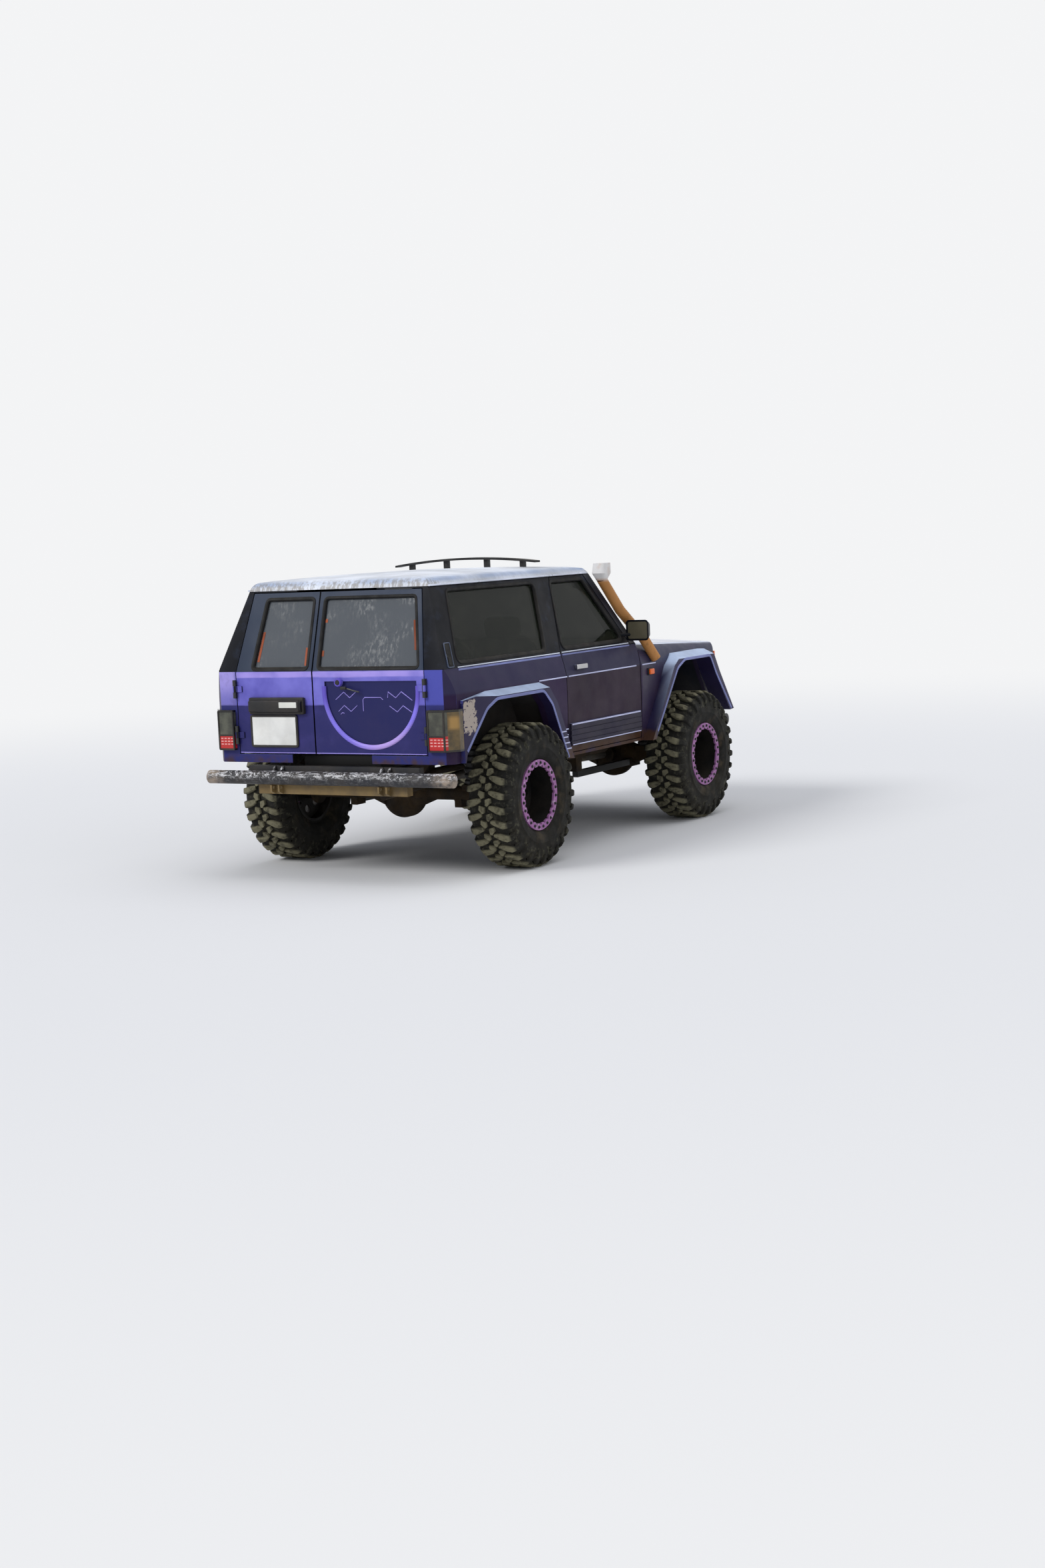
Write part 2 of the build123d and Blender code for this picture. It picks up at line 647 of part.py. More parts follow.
# Front body: fenders, hood and nose, cut from a lofted front hull.
def front_section(inset, crease_half, shoulder, crown_z, bottom_z):
    """Cross-section of the engine bay's skin at one place along the vehicle."""
    sill = (crease_half - 22 - inset, bottom_z)
    crease = (crease_half - inset, CREASE_Z - inset * 0.2)
    edge = (shoulder[0] - inset, shoulder[1] - inset)
    crown = (0, crown_z - inset)
    side_mid = ((sill[0] + crease[0]) / 2 + 7, (sill[1] + crease[1]) / 2)
    edge_mid = ((crease[0] + edge[0]) / 2 + 12, (crease[1] + edge[1]) / 2 + 8)

    def flip(point):
        return (-point[0], point[1])

    return make_face([
        ThreePointArc(sill, side_mid, crease),
        ThreePointArc(crease, edge_mid, edge),
        ThreePointArc(edge, crown, flip(edge)),
        ThreePointArc(flip(edge), flip(edge_mid), flip(crease)),
        ThreePointArc(flip(crease), flip(side_mid), flip(sill)),
        Line(flip(sill), sill),
    ])


def front_hull(inset, bottom_z=SILL_Z):
    """The solid front body from the cowl to the nose, moved in by the inset."""
    rear = front_section(inset, CREASE_HALF, (BELT_HALF - 36, BELT_Z - 8), BELT_Z + 26, bottom_z)
    nose = front_section(inset, CREASE_HALF - 88, (BELT_HALF - 82, BELT_Z - 74), BELT_Z - 42, bottom_z)
    rear_y = yr(DOOR_FRONT) - SHUT_GAP
    nose_y = yf(-NOSE_REACH)
    hull = loft([Plane.XZ.offset(-rear_y) * rear, Plane.XZ.offset(-nose_y) * nose], ruled=True)
    front = nose_y + inset
    corner = 90
    half = CREASE_HALF - 88 - inset
    back = rear_y + 10
    plan = prism_z([(-1000, back), (1000, back), (1000, front + corner), (half + 8, front + corner),
                    (half - corner, front), (corner - half, front), (-half - 8, front + corner),
                    (-1000, front + corner)], bottom_z - 50, CROWN_Z)
    brow = prism_x([(back, bottom_z - 50), (back, CROWN_Z), (front + 60, CROWN_Z),
                    (front + 60, BELT_Z - 46 - inset), (front + 12, BELT_Z - 80 - inset),
                    (front, BELT_Z - 150), (front, bottom_z - 50)], -1000, 1000)
    return hull & plan & brow


FRONT_OUTER = front_hull(0)
FRONT_SHELL = FRONT_OUTER - front_hull(SKIN, SILL_Z - 60)
HOOD_LOW_Z = 1150


def hood_zone(gap):
    """The part of the front body's top that the hood takes, shrunk by the gap."""
    nose_y = yf(-NOSE_REACH)
    half = HOOD_HALF - gap
    return block(-half, half, nose_y + 44 + gap, yr(HOOD_REAR_Y) - gap, HOOD_LOW_Z, CROWN_Z)


def build_hood():
    """The hood with its raised centre and underside frame."""
    zone = hood_zone(0)
    hood = (FRONT_OUTER - front_hull(HOOD_THICK, SILL_Z - 60)) & zone
    hood = hood & block(-1000, 1000, yf(-1000), yr(COWL_Y) + 100, 1175, CROWN_Z)
    rear = yr(HOOD_REAR_Y) - 60
    front = yf(-NOSE_REACH) + 210

    def crest(half, z):
        top = z + BULGE_HEIGHT + 14
        return Polygon((-half, z), (half, z), (half - 50, top), (50 - half, top), align=None)

    bulge = loft([Plane.XZ.offset(-rear) * crest(300, BELT_Z + 8),
                  Plane.XZ.offset(-front) * crest(240, BELT_Z - 50)], ruled=True)
    hood = hood + bulge
    y = yr(HOOD_REAR_Y) + HOOD_HINGE_BACK
    low = HOOD_HINGE_Z - HOOD_KNUCKLE
    high = HOOD_HINGE_Z + HOOD_KNUCKLE
    for side in (-1, 1):
        for offset in (-28, 28):
            x = side * HOOD_HINGE_X + offset
            ear = rod((x - 6, y, HOOD_HINGE_Z), (x + 6, y, HOOD_HINGE_Z), HOOD_KNUCKLE)
            ear = ear + block(x - 6, x + 6, yr(HOOD_REAR_Y) - 14, y, low, high)
            hood = hood + (ear - rod((x - 8, y, HOOD_HINGE_Z), (x + 8, y, HOOD_HINGE_Z), HOOD_PIN + PIN_PLAY))
    return hood


def build_fender():
    """The left front fender from the door to the nose corner."""
    fender = FRONT_SHELL & block(0, 1000, yf(-NOSE_REACH) + 40, yr(DOOR_FRONT), SILL_Z - 50, CROWN_Z)
    fender = fender - block(-10, HOOD_HALF + SHUT_GAP, yf(-1000), yr(DOOR_FRONT) + 10, 1000, CROWN_Z)
    fender = fender - block(0, 1000, yr(SCREEN_BASE) - SEAM, yr(DOOR_FRONT), BELT_Z - SHUT_GAP, CROWN_Z)
    radius = DOOR_HINGE_REACH + SHUT_GAP
    fender = fender - Pos(DOOR_HINGE_X, yr(DOOR_FRONT + DOOR_HINGE_REACH), 900) * Cylinder(radius, 900)
    fender = fender - FRONT_ARCH_CUT
    return fender.solids().sort_by(SortBy.VOLUME)[-1]


def build_nose():
    """The front panel with its slatted grille and lamp pockets."""
    nose_y = yf(-NOSE_REACH)
    panel = FRONT_SHELL & block(-1000, 1000, nose_y - 20, nose_y + 40 - SEAM, NOSE_BOTTOM_Z, CROWN_Z)
    panel = panel - hood_zone(-SHUT_GAP)
    opening = rounded_y([(-410, 1010), (410, 1010), (410, 1170), (-410, 1170)], 24, nose_y - 40, nose_y + 80)
    panel = panel - opening
    for index in range(7):
        x = -360 + 120 * index
        panel = panel + block(x - 16, x + 16, nose_y + 6, nose_y + 26, 1000, 1180)
    for side in (-1, 1):
        lamp = [(side * 450, 1010), (side * 680, 1010), (side * 680, 1170), (side * 450, 1170)]
        panel = panel - rounded_y(lamp, 30, nose_y - 40, nose_y + 80)
    return panel


def build_headlamps():
    """Both headlamps, set in the front panel's pockets."""
    nose_y = yf(-NOSE_REACH)
    lamps = []
    for side in (-1, 1):
        points = [(side * (450 + SEAM), 1010 + SEAM), (side * (680 - SEAM), 1010 + SEAM),
                  (side * (680 - SEAM), 1170 - SEAM), (side * (450 + SEAM), 1170 - SEAM)]
        lamps.append(rounded_y(points, 30, nose_y + 4, nose_y + 40))
    return lamps


# Flares: a flat top that slopes to a lip, round the arch opening.
def build_flare(outline, arch, axle_y, top_in_z, top_out_z, tail_y, tail_x):
    """The left flare of one wheel: its side outline less the arch, sloped on top and tapered to the tail."""
    reach = 955
    points = [(axle_y + y, z) for y, z in outline]
    flare = prism_x(points, CREASE_HALF - 60, reach)
    inner = CREASE_HALF - 14
    flare = flare - prism_y([(inner, top_in_z), (reach + 20, top_out_z), (reach + 20, top_in_z + 200),
                             (inner, top_in_z + 200)], axle_y - 1200, axle_y + 1200)
    flare = flare - prism_x(arch_points(arch, axle_y), 500, 1100)
    if tail_x:
        end = axle_y + tail_y
        flare = flare - prism_z([(reach + 40, axle_y + 300), (reach, axle_y + 380), (tail_x, end),
                                 (tail_x, end + 200), (reach + 40, end + 200)], 400, 1400)
    return flare


REAR_FLARE = [(-545, 630), (-355, 1010), (-225, 1152), (400, 1152), (722, 1113), (722, 735), (690, 735)]
FRONT_FLARE = [(735, 630), (360, 1120), (230, 1200), (-260, 1200), (-370, 1030), (-590, 735)]


def build_flares():
    """Front and rear flares of the left side, seated on the body's skin."""
    rear = build_flare(REAR_FLARE, REAR_ARCH, REAR_AXLE_Y, 1156, 1102, TAIL_SKIN - 10, 900)
    rear = rear - cabin_hull(-SEAM)
    front = build_flare(FRONT_FLARE, FRONT_ARCH, FRONT_AXLE_Y, 1204, 1150, 0, 0)
    front = front - front_hull(-SEAM) - cabin_hull(-SEAM)
    return (front.solids().sort_by(SortBy.VOLUME)[-1], rear.solids().sort_by(SortBy.VOLUME)[-1])


# Floor, firewall, wheel houses and hinge pillars of the body shell.
def wheelhouse(arch, axle_y, inner_x, outer_x, start, stop):
    """A wheel house: a folded band over the wheel with an inner wall."""
    outer = arch_points(arch, axle_y, 22)[start:stop]
    band = prism_x(outer, inner_x, outer_x)
    hollow = prism_x(arch_points(arch, axle_y, 10)[start:stop], inner_x + 12, outer_x + 10)
    return band - hollow


def build_floor():
    """Front floor, raised load floor, firewall, rear wheel houses and hinge pillars."""
    half = SILL_HALF - WALL - SHUT_GAP - 2
    inside = cabin_hull(WALL + SEAM, SILL_Z - 60)
    step = yr(FLOOR_STEP)
    tail = yr(TAIL_SKIN) - WALL - SHUT_GAP - 2
    floor = block(-half, half, yr(COWL_Y) + 32, step, FLOOR_Z, FLOOR_Z + FLOOR_THICK)
    floor = floor + block(-half, half, step, step + FLOOR_THICK, FLOOR_Z, LOAD_FLOOR_Z + FLOOR_THICK)
    load = block(-1000, 1000, step, tail, LOAD_FLOOR_Z, LOAD_FLOOR_Z + FLOOR_THICK) & inside
    floor = floor + load
    floor = floor + block(-half + 30, half - 30, yr(COWL_Y) + 32, yr(COWL_Y) + 48, FLOOR_Z, BELT_Z - 80)
    for side in (-1, 1):
        house = wheelhouse(REAR_ARCH, REAR_AXLE_Y, 640, 900, 0, 7)
        house = house & block(-1000, 1000, yr(-520), tail, LOAD_FLOOR_Z, 1400) & inside
        clear = prism_x(arch_points(REAR_ARCH, REAR_AXLE_Y, 10), 652, 1000)
        reach = DOOR_HINGE_REACH + 8
        post = block(755, DOOR_HINGE_X - reach, yr(COWL_Y) + 40, yr(COWL_Y) + 110, FLOOR_Z, BELT_Z - 12)
        swing = Pos(DOOR_HINGE_X, yr(DOOR_FRONT + DOOR_HINGE_REACH), FLOOR_Z) * Cylinder(reach, 200)
        if side < 0:
            house = mirrored(house)
            clear = mirrored(clear)
            post = mirrored(post)
            swing = mirrored(swing)
        floor = floor - clear - swing + house + post
    return floor


def build_door_hinges():
    """Body-side hinge arms and pins of the left front door."""
    pieces = []
    hinge_y = yr(DOOR_FRONT + DOOR_HINGE_REACH)
    inner = DOOR_HINGE_X - DOOR_HINGE_REACH - 8
    for height in DOOR_HINGE_HEIGHTS:
        arm = block(inner + SEAM, DOOR_HINGE_X, hinge_y - ARM_HALF, hinge_y + ARM_HALF,
                    height - ARM_HEIGHT / 2, height + ARM_HEIGHT / 2)
        arm = arm + Pos(DOOR_HINGE_X, hinge_y, height) * Cylinder(DOOR_KNUCKLE, ARM_HEIGHT)
        pieces.append(arm + Pos(DOOR_HINGE_X, hinge_y, height) * Cylinder(DOOR_PIN, 2 * ARM_HEIGHT))
    return pieces


def build_hood_hinges():
    """Body-side knuckles and pins of the hood, on the cowl."""
    pieces = []
    y = yr(HOOD_REAR_Y) + HOOD_HINGE_BACK
    for side in (-1, 1):
        x = side * HOOD_HINGE_X
        knuckle = rod((x - 20, y, HOOD_HINGE_Z), (x + 20, y, HOOD_HINGE_Z), HOOD_KNUCKLE)
        foot = block(x - 20, x + 20, y, yr(COWL_Y) - 2 - SEAM, HOOD_HINGE_Z - HOOD_KNUCKLE,
                     HOOD_HINGE_Z + HOOD_KNUCKLE)
        pieces.append(knuckle + foot + rod((x - 36, y, HOOD_HINGE_Z), (x + 36, y, HOOD_HINGE_Z), HOOD_PIN))
    return pieces


def build_inner_wings():
    """Engine bay side walls, front wheel houses and the radiator on its panel."""
    wings = None
    inside = front_hull(SKIN + SEAM, SILL_Z - 60)
    for side in (-1, 1):
        wall = block(450, 458, yf(-600), yr(COWL_Y) + 20, 810, 1160)
        roof = wheelhouse(FRONT_ARCH, FRONT_AXLE_Y, 450, 900, 1, 7)
        roof = roof & block(440, 900, yf(-604), yr(COWL_Y) + 20, 810, 1400) & inside
        house = wall + roof
        if side < 0:
            house = mirrored(house)
        wings = house if wings is None else wings + house
    panel = block(-456, 456, yf(-602), yf(-594), 700, 1180) - block(-360, 360, yf(-620), yf(-580), 740, 1140)
    core = block(-370, 370, yf(-594), yf(-550), 730, 1150)
    return wings + panel + core


# Frame, running gear
def build_frame():
    """Ladder frame: two kicked-up rails, tubular cross-members, spring towers and body mounts."""
    rear_end = 770
    rail_top = [(yf(-600), 700), (yf(340), 700), (yf(520), RAIL_HIGH_Z), (yr(-520), RAIL_HIGH_Z),
                (yr(-380), KICK_Z), (yr(440), KICK_Z), (yr(560), 700), (yr(rear_end), 700)]
    rail_low = [(yr(rear_end), 600), (yr(520), 600), (yr(400), 680), (yr(-330), 680), (yr(-470), RAIL_LOW_Z),
                (yf(480), RAIL_LOW_Z), (yf(300), 600), (yf(-600), 600)]
    frame = None
    centre = (RAIL_INNER + RAIL_OUTER) / 2
    for side in (-1, 1):
        rail = prism_x(rail_top + rail_low, RAIL_INNER, RAIL_OUTER)
        for axle_y in (FRONT_AXLE_Y, REAR_AXLE_Y):
            rail = rail + block(RAIL_OUTER - 5, SPRING_X + SPRING_RADIUS, axle_y - 55, axle_y + 55, 752, 770)
            rail = rail + block(RAIL_OUTER - 5, RAIL_OUTER + 8, axle_y - 55, axle_y + 55, 660, 770)
        for mount_y in (yr(-1480), yr(-900)):
            rail = rail + rod((centre, mount_y, RAIL_HIGH_Z - 5), (centre, mount_y, FLOOR_Z - SEAM), 28)
        for mount_y in (yr(-250), yr(300)):
            rail = rail + rod((centre, mount_y, KICK_Z - 5), (centre, mount_y, LOAD_FLOOR_Z - SEAM), 28)
        for link_y in (yf(880), yr(-880)):
            rail = rail + block(RAIL_INNER, RAIL_OUTER, link_y - 40, link_y + 40, ARM_TOP_Z + SEAM,
                                RAIL_LOW_Z + 10)
        if side < 0:
            rail = mirrored(rail)
        frame = rail if frame is None else frame + rail
    for y, z in ((yf(-540), 650), (yr(MIDDLE_CROSS_Y), 600), (yr(-120), 735), (yr(700), 650)):
        frame = frame + rod((-RAIL_INNER - 10, y, z), (RAIL_INNER + 10, y, z), CROSS_TUBE)
    return frame


def build_axle_body(diff_x, tube_half, pinion, arm_seat, perch_grow):
    """An axle tube with its round differential housing, pinion nose, spring perches and arm seats."""
    tube = rod((-tube_half, 0, AXLE_Z), (tube_half, 0, AXLE_Z), AXLE_TUBE)
    bowl = Pos(diff_x, 0, AXLE_Z) * Rot(90, 0, 0) * Cylinder(165, 120)
    bowl = chamfer(bowl.edges().filter_by(GeomType.CIRCLE), 34)
    housing = tube + bowl + rod((diff_x, 0, AXLE_Z), (diff_x, pinion * PINION_REACH, AXLE_Z), 56)
    for side in (-1, 1):
        start = (diff_x + side * 110, 0, AXLE_Z)
        end = (diff_x + side * 250, 0, AXLE_Z)
        housing = housing + loft([Plane(start, z_dir=(1, 0, 0)) * Circle(100),
                                  Plane(end, z_dir=(1, 0, 0)) * Circle(AXLE_TUBE)])
        perch = sorted((side * PERCH_INNER, side * (PERCH_OUTER + perch_grow)))
        housing = housing + block(*perch, -PERCH_HALF, PERCH_HALF, AXLE_Z + 20, AXLE_Z + 60)
        low, high = arm_seat
        seat = sorted((side * (RAIL_INNER + 10), side * (RAIL_OUTER - 10)))
        housing = housing + block(*seat, low, high, AXLE_Z - 90, AXLE_Z - 30)
    return housing


def build_rear_axle():
    """Rear axle with spring perches and wheel spindles."""
    axle = build_axle_body(REAR_DIFF_X, HALF_TRACK - 150, -1, (-REAR_SEAT, 30), 15)
    for side in (-1, 1):
        axle = axle + Pos(side * (HALF_TRACK - 158), 0, AXLE_Z) * Rot(0, 90, 0) * Cylinder(88, 16)
        axle = axle + rod((side * (HALF_TRACK - 160), 0, AXLE_Z), (side * (HALF_TRACK - 40), 0, AXLE_Z),
                          SPINDLE)
    return Pos(0, REAR_AXLE_Y, 0) * axle


def build_front_axle():
    """Front axle, its ends rounded into balls with upper and lower kingpins."""
    axle = build_axle_body(FRONT_DIFF_X, KINGPIN_X - 30, 1, (-60, FRONT_SEAT), 0)
    for side in (-1, 1):
        axle = axle + Pos(side * KINGPIN_X, 0, AXLE_Z) * Sphere(70)
        axle = axle + Pos(side * KINGPIN_X, 0, AXLE_Z) * Cylinder(KINGPIN, 184)
    return Pos(0, FRONT_AXLE_Y, 0) * axle


def build_knuckle():
    """The left steering knuckle: two kingpin arms, web, spindle and steering arm."""
    low = AXLE_Z - 72
    web = block(KINGPIN_X + 76, KINGPIN_X + 96, -60, 60, low - 22, AXLE_Z + 94)
    knuckle = web
    for z in (AXLE_Z + 72, low - 22):
        knuckle = knuckle + block(KINGPIN_X, KINGPIN_X + 90, -34, 34, z, z + 22)
        knuckle = knuckle + Pos(KINGPIN_X, 0, z + 11) * Cylinder(34, 22)
    knuckle = knuckle - Pos(KINGPIN_X, 0, AXLE_Z) * Cylinder(KINGPIN + PIN_PLAY, 240)
    hub = rod((KINGPIN_X + 90, 0, AXLE_Z), (HALF_TRACK - 40, 0, AXLE_Z), SPINDLE)
    eye = -STEER_ARM
    lever = prism_z([(KINGPIN_X + 96, -20), (KINGPIN_X + 96, -60), (KINGPIN_X + 24, eye - 18),
                     (KINGPIN_X - 20, eye - 18), (KINGPIN_X - 20, eye + 18), (KINGPIN_X + 76, -20)],
                    AXLE_Z - 94, AXLE_Z - 78)
    lever = lever - Pos(KINGPIN_X, -STEER_ARM, AXLE_Z - 86) * Cylinder(8 + PIN_PLAY, 30)
    return Pos(0, FRONT_AXLE_Y, 0) * (knuckle + hub + lever)


def build_tie_rod():
    """The track rod between the two steering arms, with a pin at each end."""
    z = AXLE_Z - 56
    bar = rod((-KINGPIN_X, -STEER_ARM, z), (KINGPIN_X, -STEER_ARM, z), 14)
    for side in (-1, 1):
        bar = bar + Pos(side * KINGPIN_X, -STEER_ARM, z) * Cylinder(18, 36)
        bar = bar + Pos(side * KINGPIN_X, -STEER_ARM, z - 24) * Cylinder(8, 30)
    return Pos(0, FRONT_AXLE_Y, 0) * bar


def coil(x, y, low, high):
    """A coil spring drawn as a stack of rounded turns round an open core."""
    turns = 6
    pitch = (high - low) / turns
    points = [(SPRING_RADIUS - 26, low)]
    for index in range(turns):
        z = low + index * pitch
        points.append((SPRING_RADIUS - 9, z))
        points.append((SPRING_RADIUS, z + pitch * 0.3))
        points.append((SPRING_RADIUS, z + pitch * 0.6))
        points.append((SPRING_RADIUS - 9, z + pitch * 0.9))
    points.append((SPRING_RADIUS - 9, high))
    points.append((SPRING_RADIUS - 26, high))
    return Pos(x, y, 0) * revolve(Plane.XZ * Polygon(*points, align=None), Axis.Z)


def build_suspension(axle_y, seat, arm_end):
    """Springs, dampers and trailing arms of one axle, both sides."""
    pieces = []
    near = axle_y + math.copysign(seat + SEAM, arm_end - axle_y)
    for side in (-1, 1):
        pieces.append(coil(side * SPRING_X, axle_y, AXLE_Z + 60 + SEAM, 752 - SEAM))
        x = side * (RAIL_INNER + RAIL_OUTER) / 2
        along = sorted((near, arm_end))
        pieces.append(block(x - 22, x + 22, *along, ARM_TOP_Z - ARM_DEPTH, ARM_TOP_Z))
    return pieces


# Tyre and wheel, drawn at the origin with the axle along X and the outer face towards +X.
def toothed_half(x0, x1, phase):
    """Half the tread: a ring of lugs between x0 and x1, turned by the phase."""
    pitch = 2 * math.pi / LUG_COUNT
    root = TYRE_RADIUS - LUG_DEPTH
    points = []
    for index in range(LUG_COUNT):
        angle = (index + phase) * pitch
        for share, radius in ((0, root), (LUG_DRAFT, TYRE_RADIUS), (LUG_SHARE - LUG_DRAFT, TYRE_RADIUS),
                              (LUG_SHARE, root)):
            turn = angle + share * pitch
            points.append((radius * math.cos(turn), radius * math.sin(turn)))
    return extrude(Plane.YZ.offset(x0) * Polygon(*points, align=None), x1 - x0, dir=(1, 0, 0))


def both_ways(half):
    """A shape of revolution's outer half joined to its mirrored inner half."""
    return half + mirror(half, about=Plane.YZ)


def build_tyre():
    """The tyre: two rows of staggered lugs that wrap over the shoulders onto the sidewalls."""
    shoulder = TYRE_RADIUS - SIDE_LUG_DROP
    lug_end = TYRE_RADIUS - SIDE_LUG_END
    envelope = [(0, 0), (0, TYRE_RADIUS), (TREAD_HALF, TYRE_RADIUS), (SECTION_HALF - 8, shoulder),
                (SECTION_HALF, lug_end), (SECTION_HALF, 0)]
    shape = both_ways(revolve(Plane.XY * Polygon(*envelope, align=None), Axis.X))
    lugs = (toothed_half(-SECTION_HALF, 0, 0) + toothed_half(0, SECTION_HALF, HALF)) & shape
    root = TYRE_RADIUS - LUG_DEPTH
    carcass = [(0, BEAD_RADIUS), (0, root), (TREAD_HALF, root), (SECTION_HALF - 22, root - 22),
               (SECTION_HALF - 6, lug_end), (SECTION_HALF - 6, TYRE_RADIUS - 170),
               (BEAD_HALF, RING_OUTER + 4), (BEAD_HALF, BEAD_RADIUS)]
    body = both_ways(revolve(Plane.XY * Polygon(*carcass, align=None), Axis.X))
    lugs = lugs - Rot(0, 90, 0) * Cylinder(root - 40, 2 * SECTION_HALF + 40)
    return body + lugs


def build_wheel():
    """The deep-dish wheel: barrel, drilled disc, hub and the bolted clamping ring with its scalloped edge."""
    lip = RIM_RADIUS + RIM_LIP
    inner = RIM_RADIUS - RIM_WALL
    half = [(0, inner), (RIM_HALF, inner), (RIM_HALF, lip), (RIM_HALF - 8, lip), (RIM_HALF - 12, RIM_RADIUS),
            (0, RIM_RADIUS)]
    barrel = both_ways(revolve(Plane.XY * Polygon(*half, align=None), Axis.X))
    disc = Pos(-DISC_INSET, 0, 0) * Rot(0, 90, 0) * Cylinder(RIM_RADIUS - RIM_WALL + 2, DISC_THICK)
    hole = Rot(0, 90, 0) * Cylinder(DISC_HOLE_RADIUS, DISC_THICK + 10)
    for index in range(DISC_HOLES):
        disc = disc - Rot(360 * index / DISC_HOLES, 0, 0) * Pos(-DISC_INSET, DISC_HOLE_CIRCLE, 0) * hole
    ring = Pos(RIM_HALF + RING_THICK / 2, 0, 0) * Rot(0, 90, 0) * (
        Cylinder(RING_OUTER, RING_THICK) - Cylinder(RING_INNER, RING_THICK + 10))
    scallop = Rot(0, 90, 0) * Cylinder(SCALLOP_RADIUS, RING_THICK + 10)
    for index in range(RING_SCALLOPS):
        turn = Rot(360 * index / RING_SCALLOPS, 0, 0)
        ring = ring - turn * Pos(RIM_HALF + RING_THICK / 2, RING_INNER, 0) * scallop
    face = -HALF_TRACK + KINGPIN_X + 96 + 2
    hub = rod((face, 0, 0), (-DISC_INSET + HUB_CAP, 0, 0), HUB_RADIUS)
    bore = rod((face - 5, 0, 0), (-40 + 4, 0, 0), SPINDLE + PIN_PLAY)
    return barrel + disc + ring + hub - bore


# Bumpers, steps, snorkel, deflector, lamps
def build_rear_bumper():
    """A tube across the tail, a cross bar on the frame ends and a square hitch beam beneath."""
    tube_y = yr(REAR_REACH - BUMPER_TUBE)
    tube = rod((-BUMPER_HALF, tube_y, REAR_BUMPER_Z), (BUMPER_HALF, tube_y, REAR_BUMPER_Z), BUMPER_TUBE)
    bar = block(-640, 640, yr(772), yr(822), 655, 715)
    beam = block(-560, 560, yr(782), yr(842), 540, 600)
    result = tube + bar + beam
    for side in (-1, 1):
        for x in (RAIL_INNER, RAIL_OUTER - EYE_THICK):
            plate = prism_x([(yr(770 + SEAM), 540), (yr(770 + SEAM), 715), (yr(830), 715), (tube_y, 668),
                             (tube_y + 12, 600), (tube_y + 12, 560), (yr(842), 540)], x, x + EYE_THICK)
            result = result + (plate if side > 0 else mirrored(plate))
    return result - rod((-600, yr(EYE_REAR), EYE_Z), (600, yr(EYE_REAR), EYE_Z), EYE_RADIUS)


def build_front_bumper():
    """A tube across the nose on two frame plates, with a lower skid bar."""
    tube_y = yf(-FRONT_REACH + BUMPER_TUBE)
    half = FRONT_BUMPER_HALF
    tube = rod((-half, tube_y, REAR_BUMPER_Z), (half, tube_y, REAR_BUMPER_Z), BUMPER_TUBE)
    result = tube + rod((-520, tube_y + 30, 540), (520, tube_y + 30, 540), 26)
    plate = prism_x([(yf(-600 - SEAM), 600), (yf(-600 - SEAM), 690), (tube_y, 668), (tube_y - 12, 600),
                     (tube_y - 12, 556), (tube_y + 20, 520), (tube_y + 50, 520)], RAIL_OUTER - EYE_THICK,
                    RAIL_OUTER)
    result = result + plate + mirrored(plate)
    return result - rod((-600, yf(EYE_FRONT), EYE_Z), (600, yf(EYE_FRONT), EYE_Z), EYE_RADIUS)


def build_tail_lamps():
    """Both tail lamps, wrapped round the body's rear corners."""
    lamps = []
    skin = yr(TAIL_SKIN)
    inner = CREASE_HALF + SEAM
    lamp = prism_z([(728, skin + SEAM), (836, skin + SEAM), (inner, skin - TAIL_CORNER), (inner, skin - 95),
                    (910, skin - 95), (910, skin - 50), (848, skin + 26), (728, skin + 26)], 812, 1066)
    lamp = lamp - cabin_hull(-SEAM)
    lamp = lamp.solids().sort_by(SortBy.VOLUME)[-1]
    lamps.append(lamp)
    lamps.append(mirrored(lamp))
    return lamps


def build_snorkel():
    """The intake pipe on the right: fender elbow, pillar pipe and forward-facing head."""
    path = [(-905, yr(-1850), 1185), (-862, yr(-1760), 1330), (-790, yr(-1560), 1540),
            (-745, yr(-1400), RAIL_Z - 52)]
    pipe = pipe_along(path, SNORKEL_RADIUS)
    x, y, z = path[-1]
    head = loft([Plane((x, y, z - 10), z_dir=(0, 0, 1)) * Circle(SNORKEL_RADIUS),
                 Plane((x, y, z + 40), z_dir=(0, 0, 1)) * RectangleRounded(100, 130, 30),
                 Plane((x, y - 10, z + 108), z_dir=(0, 0, 1)) * RectangleRounded(92, 120, 30)], ruled=True)
    snorkel = (pipe + head) - front_hull(-SEAM) - cabin_hull(-SEAM)
    return snorkel.solids().sort_by(SortBy.VOLUME)[-1]


def build_roof_bar():
    """The bowed deflector above the roof on two small feet."""
    y = yr(ROOF_BAR_Y)
    middle = CROWN_Z + ROOF_BAR_RISE
    end = middle - ROOF_BAR_BOW
    half = ROOF_BAR_HALF
    top = end + ROOF_BAR_THICK
    bar = make_face([ThreePointArc((-half, end), (0, middle), (half, end)), Line((half, end), (half, top)),
                     ThreePointArc((half, top), (0, middle + ROOF_BAR_THICK + 2), (-half, top)),
                     Line((-half, top), (-half, end))])
    result = extrude(Plane.XZ.offset(-y) * bar, ROOF_BAR_DEPTH, dir=(0, 1, 0))
    for x in ROOF_BAR_FEET:
        rise = ROOF_BAR_BOW * (1 - (x / half) ** 2)
        result = result + block(x - 14, x + 14, y + 10, y + 50, CROWN_Z - 48, end + rise + 3)
    return result - cabin_hull(-SEAM)


